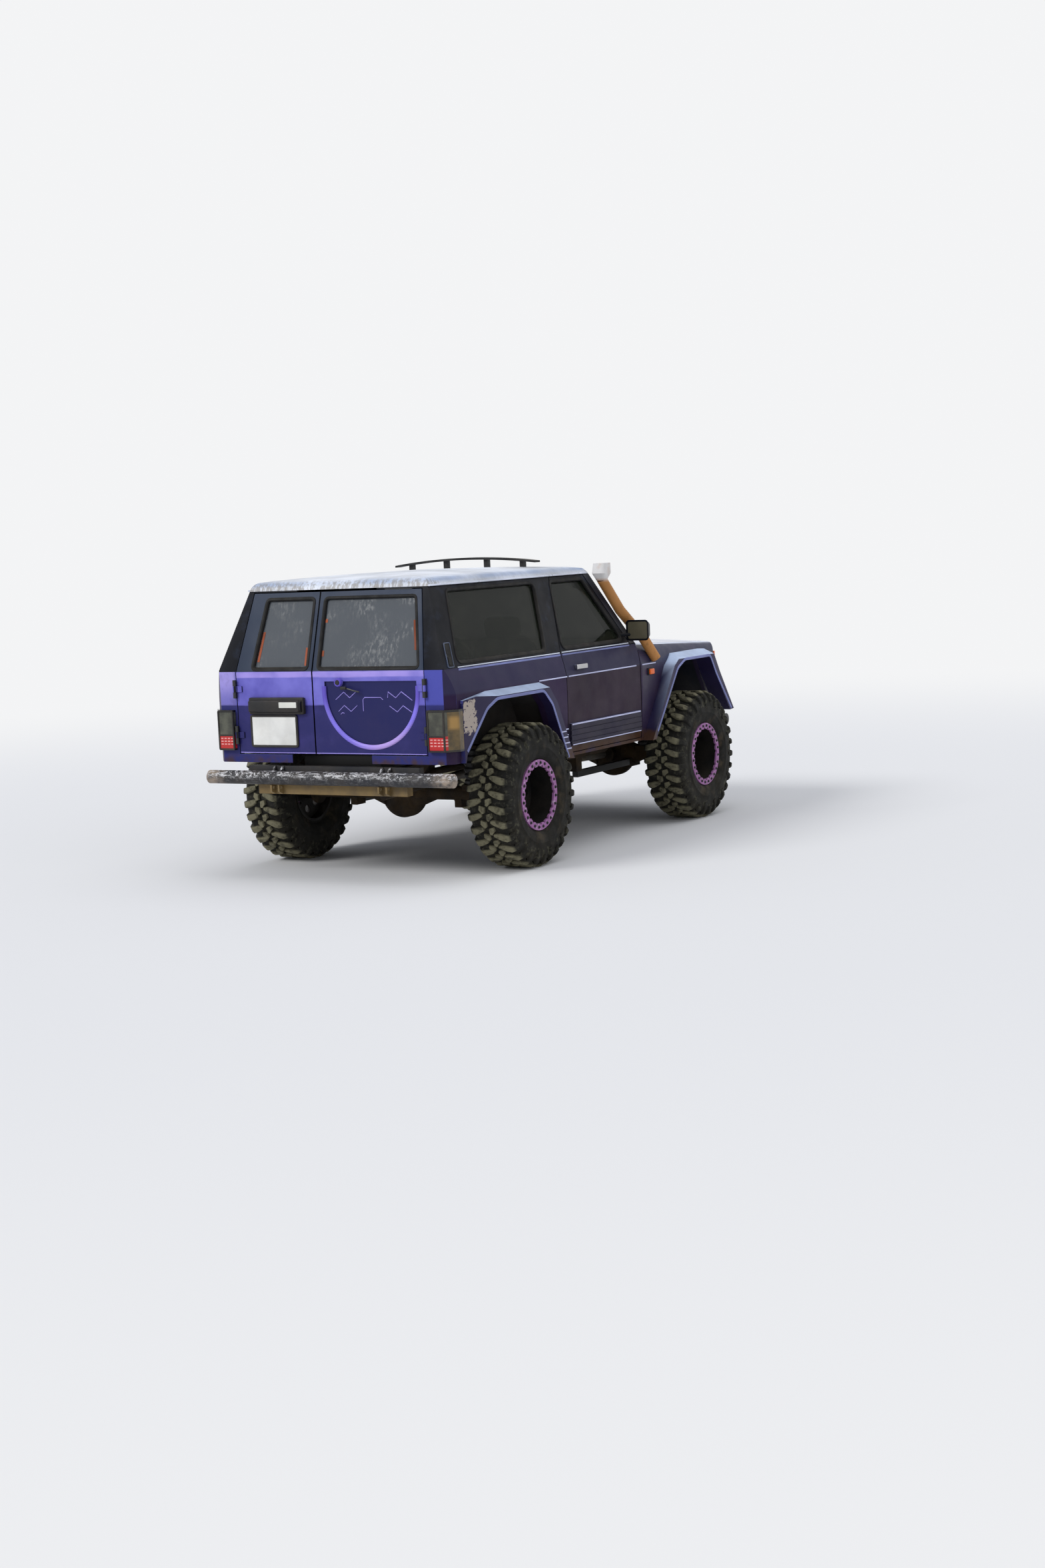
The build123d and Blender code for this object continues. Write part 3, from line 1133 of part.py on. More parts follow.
def build_seats():
    """Two front seats: cushion, raked back and headrest in one."""
    seats = []
    for side in (-1, 1):
        outline = [(yr(-1240), 800), (yr(-1240), 900), (yr(-1200), 930), (yr(-830), 900), (yr(-690), 1400),
                   (yr(-660), 1560), (yr(-600), 1560), (yr(-620), 1380), (yr(-740), 800)]
        x0 = min(side * 150, side * 640)
        seat = prism_x(outline, x0, x0 + 490)
        seat = seat + block(x0 + 60, x0 + 430, yr(-1180), yr(-800), FLOOR_Z + FLOOR_THICK + SEAM, 805)
        seats.append(seat)
    return seats


def build_bench():
    """The rear bench between the wheel houses."""
    outline = [(yr(-400), 830), (yr(-400), 1010), (yr(-360), 1040), (yr(40), 1010), (yr(150), 1420),
               (yr(230), 1420), (yr(150), 830)]
    bench = prism_x(outline, -580, 580)
    return bench + block(-540, 540, yr(-370), yr(100), LOAD_FLOOR_Z + FLOOR_THICK + SEAM, 840)


def build_dashboard():
    """Dashboard across the cabin with the steering wheel on its column."""
    bulkhead = yr(COWL_Y) + 48 + SEAM
    outline = [(bulkhead, 1020), (bulkhead, 1200), (yr(-1585), 1270), (yr(-1500), 1285), (yr(-1360), 1240),
               (yr(-1340), 1120), (yr(-1420), 1020)]
    board = prism_x(outline, -740, 740)
    centre = Vector(390, yr(-1180), 1200)
    normal = Vector(0, math.cos(math.radians(25)), math.sin(math.radians(25)))
    column = rod((390, yr(-1400), 1100), tuple(centre), 26)
    wheel = Torus(188, 15) + Box(370, 44, 16) + Pos(0, -90, 0) * Box(44, 180, 16)
    return board + column + Plane(centre, x_dir=(1, 0, 0), z_dir=normal) * wheel


def build_engine():
    """The engine as one block between the inner wings."""
    outline = [(yf(-380), 700), (yf(-380), 1060), (yf(-300), 1110), (yf(420), 1110), (yf(520), 1000),
               (yf(520), 660), (yf(200), 660), (yf(160), 640), (yf(-300), 640)]
    mounts = block(-RAIL_INNER + SEAM, RAIL_INNER - SEAM, yf(-60), yf(20), 655, 695)
    return prism_x(outline, -220, 220) + mounts


def build_gearbox():
    """Gearbox, transfer case and the two prop shafts."""
    box = loft([Plane.XZ.offset(-yf(520) - SEAM) * Pos(0, 570) * Rectangle(300, 140),
                Plane.XZ.offset(-yr(CASE_FRONT + 10)) * Pos(0, 560) * Rectangle(220, 130)], ruled=True)
    case = block(CASE_SIDE, 190, yr(CASE_FRONT), yr(CASE_REAR), 430, 625)
    rear = rod((REAR_SHAFT_X, yr(CASE_REAR - 5), 500), (REAR_SHAFT_X, yr(-PINION_REACH - 1.8), AXLE_Z + 10),
               30)
    front = rod((FRONT_SHAFT_X, yr(CASE_FRONT + 5), 490), (FRONT_SHAFT_X, yf(PINION_REACH + 1.3), AXLE_Z), 26)
    bracket = block(-60, 60, yr(CASE_REAR - 5), yr(MIDDLE_CROSS_Y) - CROSS_TUBE - SEAM, 585, 615)
    return box + case + rear + front + bracket


def build_tank():
    """Fuel tank between the rails behind the rear axle."""
    tank = block(-240, 340, yr(290), yr(640), 590, LOAD_FLOOR_Z - SEAM)
    return fillet(tank.edges().filter_by(Axis.X), 40)


def build_exhaust():
    """Exhaust pipe and silencer along the right side."""
    x = EXHAUST_X
    path = [(x, yf(620), 520), (x, yr(-560), 520), (x, yr(-250), 610), (x, yr(140), 610), (x, yr(250), 540),
            (x, yr(720), 520)]
    pipe = pipe_along(path, EXHAUST_RADIUS)
    for y in (yr(-1300), yr(-600)):
        pipe = pipe + rod((x, y, HANGER_Z), (-RAIL_INNER + SEAM, y, HANGER_Z), HANGER_RADIUS)
    return pipe + rod((x, yr(-900), 520), (x, yr(-620), 520), 2 * EXHAUST_RADIUS)


# Build and write every node.
body_side = build_body_side()
save("body_side_left", body_side)
save("body_side_right", mirrored(body_side))
save("roof_panel", build_roof())
save("windscreen_frame", build_windscreen_frame())
save("body_glass", *build_body_glass())

front_door = build_front_door()
mirror_arm, mirror_head = build_mirror()
front_door = front_door + mirror_arm + mirror_head
save("front_door_left", front_door)
save("front_door_right", mirrored(front_door))
door_glass = build_door_glass()
save("door_glass_left", door_glass)
save("door_glass_right", mirrored(door_glass))

save("rear_door_left", build_barn_door(1))
save("rear_door_right", build_barn_door(-1))
save("rear_glass_left", build_barn_glass(1))
save("rear_glass_right", build_barn_glass(-1))
door_hinges = build_door_hinges()
mirrored_hinges = [mirrored(piece) for piece in door_hinges]
save("body_hinges", *build_barn_hinges(), *build_hood_hinges(), *door_hinges, *mirrored_hinges)

fender = build_fender()
save("fender_left", fender)
save("fender_right", mirrored(fender))
save("hood", build_hood())
save("nose_panel", build_nose())
save("headlamps", *build_headlamps())
front_flare, rear_flare = build_flares()
save("flares_front", front_flare, mirrored(front_flare))
save("flares_rear", rear_flare, mirrored(rear_flare))
save("tail_lamps", *build_tail_lamps())
save("snorkel", build_snorkel())
save("roof_bar", build_roof_bar())

save("body_floor", build_floor())
save("inner_wings", build_inner_wings())
save("front_seats", *build_seats())
save("rear_bench", build_bench())
save("dashboard", build_dashboard())

save("chassis_frame", build_frame())
save("rear_bumper", build_rear_bumper())
save("front_bumper", build_front_bumper())
save("engine_block", build_engine())
save("gearbox", build_gearbox())
save("fuel_tank", build_tank())
save("exhaust", build_exhaust())
save("front_axle", build_front_axle())
save("rear_axle", build_rear_axle())
save("front_suspension", *build_suspension(FRONT_AXLE_Y, FRONT_SEAT, yf(880)))
save("rear_suspension", *build_suspension(REAR_AXLE_Y, REAR_SEAT, yr(-880)))

knuckle = build_knuckle()
save("knuckle_left", knuckle)
save("knuckle_right", mirrored(knuckle))
save("tie_rod", build_tie_rod())

tyre = build_tyre()
wheel = build_wheel()
for place, axle_y in (("front", FRONT_AXLE_Y), ("rear", REAR_AXLE_Y)):
    for hand, turn in (("left", 1), ("right", -1)):
        where = Pos(turn * HALF_TRACK, axle_y, AXLE_Z)
        save("tyre_" + place + "_" + hand, where * (tyre if turn > 0 else mirrored(tyre)))
        save("wheel_" + place + "_" + hand, where * (wheel if turn > 0 else mirrored(wheel)))
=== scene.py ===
"""Finishes and fittings of a lifted off-road 4x4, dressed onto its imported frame.

The nose points along -Y, the vehicle's left side is +X, +Z is up, in metres.
"""

import json
import logging
import math
from dataclasses import dataclass, replace
from enum import Enum
from typing import Callable, Optional, Sequence

import bmesh
import bpy
from mathutils import Matrix, Vector

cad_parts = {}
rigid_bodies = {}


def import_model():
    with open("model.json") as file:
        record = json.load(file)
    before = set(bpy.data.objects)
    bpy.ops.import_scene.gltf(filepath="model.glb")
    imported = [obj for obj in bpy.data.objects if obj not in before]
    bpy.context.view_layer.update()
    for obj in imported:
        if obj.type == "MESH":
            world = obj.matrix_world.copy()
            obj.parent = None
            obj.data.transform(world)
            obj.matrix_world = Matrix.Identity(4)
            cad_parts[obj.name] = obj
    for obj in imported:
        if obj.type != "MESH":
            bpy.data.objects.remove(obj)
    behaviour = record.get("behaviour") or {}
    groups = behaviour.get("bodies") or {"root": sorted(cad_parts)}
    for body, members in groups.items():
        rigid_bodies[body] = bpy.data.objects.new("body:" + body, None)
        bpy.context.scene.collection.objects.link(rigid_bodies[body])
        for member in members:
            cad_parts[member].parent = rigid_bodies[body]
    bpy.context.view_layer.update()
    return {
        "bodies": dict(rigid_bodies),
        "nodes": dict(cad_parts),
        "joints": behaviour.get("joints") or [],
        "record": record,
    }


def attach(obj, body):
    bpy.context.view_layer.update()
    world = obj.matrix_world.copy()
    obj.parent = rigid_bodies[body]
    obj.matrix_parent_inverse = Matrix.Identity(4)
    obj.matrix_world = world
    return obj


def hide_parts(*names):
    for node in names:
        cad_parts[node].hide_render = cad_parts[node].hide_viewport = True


Colour = tuple[float, float, float]
Point = tuple[float, float, float]
Flat = tuple[float, float]
Socket = bpy.types.NodeSocket
Sockets = bpy.types.bpy_prop_collection
Layers = tuple[Socket, Optional[Socket], Optional[Socket]]

LOG = logging.getLogger("off_road_4x4")

REAR_AXLE = 1.1025
FRONT_AXLE = -1.2975
AXLE_HEIGHT = 0.457
HALF_TRACK = 0.862
TAIL_SKIN = REAR_AXLE + 0.820
BELT_HEIGHT = 1.300

COLOUR_SOCKET = "NodeSocketColor"
VALUE_SOCKET = "NodeSocketFloat"
GEOMETRY_SOCKET = "NodeSocketGeometry"


def srgb(red: int, green: int, blue: int) -> Colour:
    """A display colour of 0 to 255 as linear values.

    Args:
        red, green, blue: the display values.

    Returns:
        The linear colour.
    """
    def linear(value: float) -> float:
        """One display value as a linear one."""
        value /= 255
        return value / 12.92 if value <= 0.04045 else ((value + 0.055) / 1.055) ** 2.4

    return linear(red), linear(green), linear(blue)


def new_object(name: str, data: bpy.types.ID) -> bpy.types.Object:
    """A new object in the scene.

    Args:
        name: its name.
        data: its mesh, light or camera.

    Returns:
        The object.
    """
    made = bpy.data.objects.new(name, data)
    bpy.context.scene.collection.objects.link(made)
    return made


class Side(Enum):
    """The vehicle's two sides by the sign of X."""

    LEFT = 1
    RIGHT = -1

    @property
    def word(self) -> str:
        """The side's name in a node's name."""
        return self.name.lower()


def both(*stems: str) -> tuple[str, ...]:
    """Each name with the left and the right side."""
    return tuple(f"{stem}_{side.word}" for stem in stems for side in Side)


# Shader and geometry nodes
class Nodes:
    """Adds nodes to one tree and joins them."""

    def __init__(self, tree: bpy.types.NodeTree) -> None:
        """Takes the tree of a material, a group or the world."""
        self.tree = tree

    @classmethod
    def material(cls, name: str) -> tuple[bpy.types.Material, "Nodes"]:
        """A new material without nodes.

        Args:
            name: the material's name.

        Returns:
            The material and the maker of its nodes.
        """
        made = bpy.data.materials.new(name)
        made.use_nodes = True
        made.node_tree.nodes.clear()
        return made, cls(made.node_tree)

    @classmethod
    def group(cls, name: str, kind: str, inputs: Sequence[tuple[str, str, object]],
              outputs: Sequence[tuple[str, str]]) -> tuple["Nodes", Sockets, bpy.types.Node]:
        """A new group with named sockets.

        Args:
            name: the group's name.
            kind: the tree's type.
            inputs: each input's name, type and value, None where it has no value.
            outputs: each output's name and type.

        Returns:
            The maker of its nodes, its inputs as sockets, and the node that takes its outputs.
        """
        tree = bpy.data.node_groups.new(name, kind)
        for label, socket_kind, value in inputs:
            socket = tree.interface.new_socket(name=label, in_out="INPUT", socket_type=socket_kind)
            if value is not None:
                socket.default_value = (*value, 1.0) if isinstance(value, tuple) else value
        for label, socket_kind in outputs:
            tree.interface.new_socket(name=label, in_out="OUTPUT", socket_type=socket_kind)
        return cls(tree), tree.nodes.new("NodeGroupInput").outputs, tree.nodes.new("NodeGroupOutput")

    def node(self, kind: str, inputs: Optional[dict] = None, **settings: object) -> bpy.types.Node:
        """One node.

        Args:
            kind: the node's type.
            inputs: socket names or numbers with a value or an output to join.
            settings: the node's own properties.

        Returns:
            The node.
        """
        made = self.tree.nodes.new(kind)
        for name, value in settings.items():
            setattr(made, name, value)
        for key, value in (inputs or {}).items():
            socket = made.inputs[key]
            if isinstance(value, bpy.types.NodeSocket):
                self.tree.links.new(value, socket)
            elif isinstance(value, tuple) and len(value) == 3 and socket.type == "RGBA":
                socket.default_value = (*value, 1.0)
            else:
                socket.default_value = value
        return made

    def place(self) -> Socket:
        """Object coordinates."""
        return self.node("ShaderNodeTexCoord").outputs["Object"]

    def split(self, vector: Socket) -> tuple[Socket, Socket, Socket]:
        """The three parts of a vector."""
        parts = self.node("ShaderNodeSeparateXYZ", {0: vector}).outputs
        return parts[0], parts[1], parts[2]

    def normal(self) -> tuple[Socket, Socket, Socket]:
        """The three parts of the surface's own direction."""
        return self.split(self.node("ShaderNodeTexCoord").outputs["Normal"])

    def math(self, operation: str, a: object, b: object = 0.0, clamp: bool = False) -> Socket:
        """One sum of two values."""
        return self.node("ShaderNodeMath", {0: a, 1: b}, operation=operation, use_clamp=clamp).outputs[0]

    def times(self, a: object, b: object, clamp: bool = False) -> Socket:
        """Two values multiplied."""
        return self.math("MULTIPLY", a, b, clamp)

    def plus(self, a: object, b: object, clamp: bool = False) -> Socket:
        """Two values added."""
        return self.math("ADD", a, b, clamp)

    def minus(self, a: object, b: object) -> Socket:
        """The second value taken from the first."""
        return self.math("SUBTRACT", a, b)

    def most(self, a: object, b: object) -> Socket:
        """The greater of two values."""
        return self.math("MAXIMUM", a, b)

    def over(self, value: object, limit: float) -> Socket:
        """1 where a value is over a limit, else 0."""
        return self.math("GREATER_THAN", value, limit)

    def under(self, value: object, limit: object) -> Socket:
        """1 where a value is under a limit, else 0."""
        return self.math("LESS_THAN", value, limit)

    def plain(self, value: object) -> Socket:
        """A value without its sign."""
        return self.math("ABSOLUTE", value)

    def length(self, a: Socket, b: Socket) -> Socket:
        """The distance that two sides of a right angle span."""
        return self.math("SQRT", self.plus(self.times(a, a), self.times(b, b)))

    def span(self, value: object, low: object, high: object, to_low: float = 0.0,
             to_high: float = 1.0) -> Socket:
        """A value as a smooth step between two others."""
        inputs = {"Value": value, "From Min": low, "From Max": high, "To Min": to_low, "To Max": to_high}
        return self.node("ShaderNodeMapRange", inputs, interpolation_type="SMOOTHSTEP").outputs[0]

    def mix(self, share: object, a: object, b: object) -> Socket:
        """Two colours mixed.

        Args:
            share: how much of the second one there is.
            a: the first colour.
            b: the second colour.

        Returns:
            The mixed colour.
        """
        made = self.node("ShaderNodeMix", data_type="RGBA", clamp_factor=True)
        for index, value in ((0, share), (6, a), (7, b)):
            if isinstance(value, bpy.types.NodeSocket):
                self.tree.links.new(value, made.inputs[index])
            else:
                made.inputs[index].default_value = (*value, 1.0) if isinstance(value, tuple) else value
        return made.outputs[2]

    def noise(self, scale: object, detail: float = 4.0, rough: float = 0.55,
              stretch: Point = (1, 1, 1)) -> Socket:
        """Noise on object coordinates.

        Args:
            scale: how fine it is.
            detail: how many finer layers it has.
            rough: how strong the finer layers are.
            stretch: the scale along each axis.

        Returns:
            The noise from 0 to 1.
        """
        mapped = self.node("ShaderNodeMapping", {"Vector": self.place(), "Scale": stretch})
        inputs = {"Vector": mapped.outputs[0], "Scale": scale, "Detail": detail, "Roughness": rough}
        return self.node("ShaderNodeTexNoise", inputs).outputs["Fac"]

    def grains(self, scale: float, detail: float, low: float, high: float, *ends: float) -> Socket:
        """Noise as a smooth step: its scale and detail, then the step's limits and values."""
        return self.span(self.noise(scale, detail), low, high, *ends)

    def band(self, value: Socket, low: float, high: float, soft: float = 0.004) -> Socket:
        """1 between two limits, 0 outside them.

        Args:
            value: the value.
            low: where the band starts.
            high: where it ends.
            soft: how far each edge reaches to either side.

        Returns:
            The band.
        """
        rise = self.span(value, low - soft, low + soft)
        fall = self.span(value, high - soft, high + soft)
        return self.math("SUBTRACT", rise, fall, clamp=True)


class EffectGroups:
    """Shader groups that several finishes share, each built once."""

    @staticmethod
    def dust() -> bpy.types.NodeTree:
        """Dust that lies thicker low down and on upward faces.

        Returns:
            A group with Color, Dust, Amount, Low, High and Scale in, and Color and Mask out.
        """
        known = bpy.data.node_groups.get("dust_film")
        if known:
            return known
        inputs = [("Color", COLOUR_SOCKET, (0.1, 0.1, 0.1)), ("Dust", COLOUR_SOCKET, (0.3, 0.25, 0.18)),
                  ("Amount", VALUE_SOCKET, 0.5), ("Low", VALUE_SOCKET, 0.5), ("High", VALUE_SOCKET, 1.2),
                  ("Scale", VALUE_SOCKET, 6.0)]
        make, source, target = Nodes.group("dust_film", "ShaderNodeTree", inputs,
                                           [("Color", COLOUR_SOCKET), ("Mask", VALUE_SOCKET)])
        height = make.span(make.split(make.place())[2], source["Low"], source["High"], 1.0, 0.12)
        lying = make.span(make.normal()[2], 0.2, 1.0, 0.0, 0.55)
        noise = make.span(make.noise(source["Scale"], 6.0, 0.62), 0.3, 0.72)
        speck = make.times(noise, make.grains(95, 3, 0.15, 0.75, 0.55, 1.0))
        share = make.times(make.plus(height, lying), speck)
        share = make.times(share, source["Amount"], clamp=True)
        make.tree.links.new(make.mix(share, source["Color"], source["Dust"]), target.inputs["Color"])
        make.tree.links.new(share, target.inputs["Mask"])
        return make.tree

    @staticmethod
    def chips() -> bpy.types.NodeTree:
        """Small chips and scratches through a coat.

        Returns:
            A group with Color, Chip, Amount and Scale in, and Color out.
        """
        known = bpy.data.node_groups.get("coat_chips")
        if known:
            return known
        inputs = [("Color", COLOUR_SOCKET, (0.1, 0.1, 0.1)), ("Chip", COLOUR_SOCKET, (0.4, 0.4, 0.4)),
                  ("Amount", VALUE_SOCKET, 0.5), ("Scale", VALUE_SOCKET, 30.0)]
        make, source, target = Nodes.group("coat_chips", "ShaderNodeTree", inputs, [("Color", COLOUR_SOCKET)])
        voronoi = {"Vector": make.place(), "Scale": source["Scale"], "Randomness": 1.0}
        cells = make.node("ShaderNodeTexVoronoi", voronoi).outputs["Distance"]
        limit = make.times(make.times(make.grains(5, 3, 0.52, 0.78), 0.30), source["Amount"])
        colour = make.mix(make.under(cells, limit), source["Color"], source["Chip"])
        make.tree.links.new(colour, target.inputs["Color"])
        return make.tree


@dataclass(frozen=True)
class Finish:
    """A finish with its colour, gloss, dust and chips; others add their own pattern."""

    name: str
    colour: Colour
    rough: float = 0.5
    metallic: float = 0.0
    coat: float = 0.0
    dust: float = 0.35
    dust_colour: Colour = srgb(150, 132, 104)
    dust_low: float = 0.55
    dust_high: float = 1.35
    chip: float = 0.0
    chip_colour: Colour = srgb(176, 170, 168)
    variation: float = 0.12
    grain: float = 0.0
    grain_scale: float = 300.0
    sheen: float = 0.0
    specular: float = 0.5

    def pattern(self, make: Nodes, colour: Socket) -> Layers:
        """The finish's own colours.

        Args:
            make: the maker of the material's nodes.
            colour: the colour so far.

        Returns:
            The colour, and where there are any, a roughness and a height.
        """
        return colour, None, None

    def build(self) -> bpy.types.Material:
        """The finish as a material.

        Returns:
            The material, made once for each name.
        """
        known = bpy.data.materials.get(self.name)
        if known:
            return known
        material, make = Nodes.material(self.name)
        shade = tuple(min(1.0, value * (1 + 2 * self.variation)) for value in self.colour)
        dark = tuple(value * (1 - self.variation) for value in self.colour)
        colour = make.mix(make.grains(2.6, 5, 0.3, 0.7), dark, shade)
        colour, rough, height = self.pattern(make, colour)
        if self.chip:
            chips = {"Color": colour, "Chip": self.chip_colour, "Amount": self.chip}
            colour = make.node("ShaderNodeGroup", chips, node_tree=EffectGroups.chips()).outputs["Color"]
        dust = {"Color": colour, "Dust": self.dust_colour, "Amount": self.dust, "Low": self.dust_low,
                "High": self.dust_high}
        dusty = make.node("ShaderNodeGroup", dust, node_tree=EffectGroups.dust()).outputs
        base = rough if rough else make.grains(14, 4, 0.3, 0.7, self.rough * 0.85, min(1, self.rough * 1.15))
        dulled = make.plus(base, make.times(dusty["Mask"], 0.45), clamp=True)
        inputs = {"Base Color": dusty["Color"], "Roughness": dulled, "Metallic": self.metallic,
                  "Coat Weight": self.coat, "Coat Roughness": 0.12, "Specular IOR Level": self.specular,
                  "Sheen Weight": self.sheen}
        if self.grain:
            fine = make.noise(self.grain_scale, 3)
            height = make.plus(height, make.times(fine, 0.4)) if height else fine
        if height:
            bump = {"Height": height, "Strength": self.grain or 0.4, "Distance": 0.004}
            inputs["Normal"] = make.node("ShaderNodeBump", bump).outputs[0]
        shader = make.node("ShaderNodeBsdfPrincipled", inputs)
        make.node("ShaderNodeOutputMaterial", {"Surface": shader.outputs[0]})
        return material


@dataclass(frozen=True)
class BodyPaint(Finish):
    """Dull violet paint, slate above the crease, paler on upward faces as painted sky reflection on sun-faded
    paint, with painted light and shade on the tail and dark window surrounds.
    """

    trim: Colour = srgb(24, 24, 27)
    slate: Colour = srgb(50, 48, 76)
    # tail: lighter violet for rear-facing faces, painted light where the sun falls on the tail
    tail: Colour = srgb(76, 80, 166)
    # paler colour for upward faces: painted sky reflection on partly sun-faded paint
    bleach: Colour = srgb(148, 162, 212)
    pillar: Colour = srgb(15, 17, 24)
    crease: float = 1.155
    pillar_line: float = 1.306
    pillars: bool = True
    peel: bool = False
    lined: bool = True
    flat: float = 0.72

    def pattern(self, make: Nodes, colour: Socket) -> Layers:
        """Slate above the crease, the tail lighter above its fold and darker below it as painted light and
        shade, a painted highlight on its corner, paler tops as painted sky reflection on faded paint,
        surrounds, a torn patch and a rusty sill.

        Args:
            make: the maker of the material's nodes.
            colour: the colour so far.

        Returns:
            The colour, and where there are any, a roughness and a height.
        """
        x, y, z = make.split(make.place())
        normal = make.normal()
        above = make.span(z, self.crease - 0.012, self.crease + 0.012)
        colour = make.mix(make.times(above, 0.85), colour, self.slate)
        # Rear-facing faces take the lighter tail colour: painted light on the sunlit tail.
        facing = make.times(make.span(normal[1], 0.90, 0.975), make.over(y, REAR_AXLE + 0.7))
        # Below the fold the tail colour is darkened: painted shade.
        deep = tuple(value * 0.42 for value in self.tail)
        # A paler patch high on the tail's outer corner: painted highlight.
        tail_corner_highlight = make.times(make.span(x, 0.70, 0.73), make.span(z, 1.12, 1.26, 0.35, 0.85))
        tail_lit_and_shaded = make.mix(make.span(z, 1.090, 1.102), deep, make.mix(tail_corner_highlight, self.tail, srgb(172, 160, 228)))
        grime = make.times(make.span(z, 0.80, 0.74), make.grains(12, 5, 0.40, 0.62))
        colour = make.mix(facing, colour, make.mix(make.times(grime, 0.8), tail_lit_and_shaded, srgb(72, 52, 44)))
        streaks = make.noise(9, 5, 0.6, (1, 0.25, 1))
        faded = make.times(make.span(streaks, 0.52, 0.78), 0.35)
        colour = make.mix(faded, colour, tuple(min(1, value * 1.7 + 0.01) for value in self.colour))
        patch = make.grains(4.5, 5, 0.35, 0.75, 0.72, 1.0)
        # Upward faces turn paler: painted sky reflection on partly sun-faded paint.
        top = make.times(make.span(normal[2], self.flat - 0.12, self.flat + 0.12), patch)
        colour = make.mix(top, colour, self.bleach)
        rust = make.times(make.span(z, 0.712, 0.688), make.grains(9, 6, 0.28, 0.5))
        colour = make.mix(make.times(rust, 0.92), colour, srgb(70, 46, 30))
        if self.peel:
            colour = self.torn(make, colour, x, y, z)
        colour = self.own(make, colour, (x, y, z))
        gloss = make.grains(7, 5, 0.3, 0.75, self.rough * 0.85, self.rough * 1.25)
        if self.pillars:
            surround = make.span(z, self.pillar_line - 0.003, self.pillar_line + 0.003)
            worn = make.mix(make.grains(11, 5, 0.5, 0.8, 0.0, 0.5), self.pillar, srgb(44, 52, 70))
            colour = make.mix(surround, colour, worn)
        inner = make.under(make.times(x, normal[0]), -0.02)
        rear = make.times(make.under(normal[1], -0.6), float(self.lined))
        return make.mix(make.most(inner, rear), colour, self.trim), gloss, None

    def torn(self, make: Nodes, colour: Socket, x: Socket, y: Socket, z: Socket) -> Socket:
        """A patch on the right rear corner where the paint has peeled.

        Args:
            make: the maker of the material's nodes.
            colour: the colour so far.
            x, y, z: the place.

        Returns:
            The colour with the patch.
        """
        across = make.plain(make.minus(y, TAIL_SKIN - 0.160))
        down = make.times(make.plain(make.minus(z, 1.012)), 0.60)
        rag = make.times(make.minus(make.noise(24, 6, 0.7), 0.5), 0.085)
        ragged = make.plus(make.most(across, down), rag)
        inside = make.times(make.under(ragged, 0.056), make.under(x, -0.8))
        spots = make.under(make.noise(55, 3), 0.62)
        return make.mix(make.times(inside, spots), colour, srgb(172, 160, 150))

    def own(self, make: Nodes, colour: Socket, place: tuple[Socket, Socket, Socket]) -> Socket:
        """What one panel's paint adds to the body's."""
        return colour


@dataclass(frozen=True)
class DoorPaint(BodyPaint):
    """Front door paint with its black mirror housing."""

    def own(self, make: Nodes, colour: Socket, place: tuple[Socket, Socket, Socket]) -> Socket:
        """Black plastic outboard of the window line, worn slate under the moulding's top.

        Args:
            make: the maker of the material's nodes.
            colour: the colour so far.
            place: the object coordinates.

        Returns:
            The panel's colour.
        """
        out = make.over(make.plain(place[0]), 0.8455)
        mirror = make.times(out, make.over(place[2], 1.318))
        moulding = make.times(make.band(place[2], 0.703, 0.842, 0.003), 0.75)
        return make.mix(mirror, make.mix(moulding, colour, srgb(44, 44, 62)), srgb(18, 18, 20))


@dataclass(frozen=True)
class NosePaint(BodyPaint):
    """Front panel paint, black round the lamps and the grille."""

    def own(self, make: Nodes, colour: Socket, place: tuple[Socket, Socket, Socket]) -> Socket:
        """A satin black band across the face and a dusty foot.

        Args:
            make: the maker of the material's nodes.
            colour: the colour so far.
            place: the object coordinates.

        Returns:
            The panel's colour.
        """
        face = make.band(place[2], 0.992, 1.188, 0.002)
        across = make.under(make.plain(place[0]), 0.792)
        foot = make.times(make.span(place[2], 0.86, 0.70), make.grains(7, 5, 0.3, 0.7))
        colour = make.mix(make.times(foot, 0.7), colour, srgb(96, 80, 66))
        return make.mix(make.times(face, across), colour, srgb(17, 17, 19))


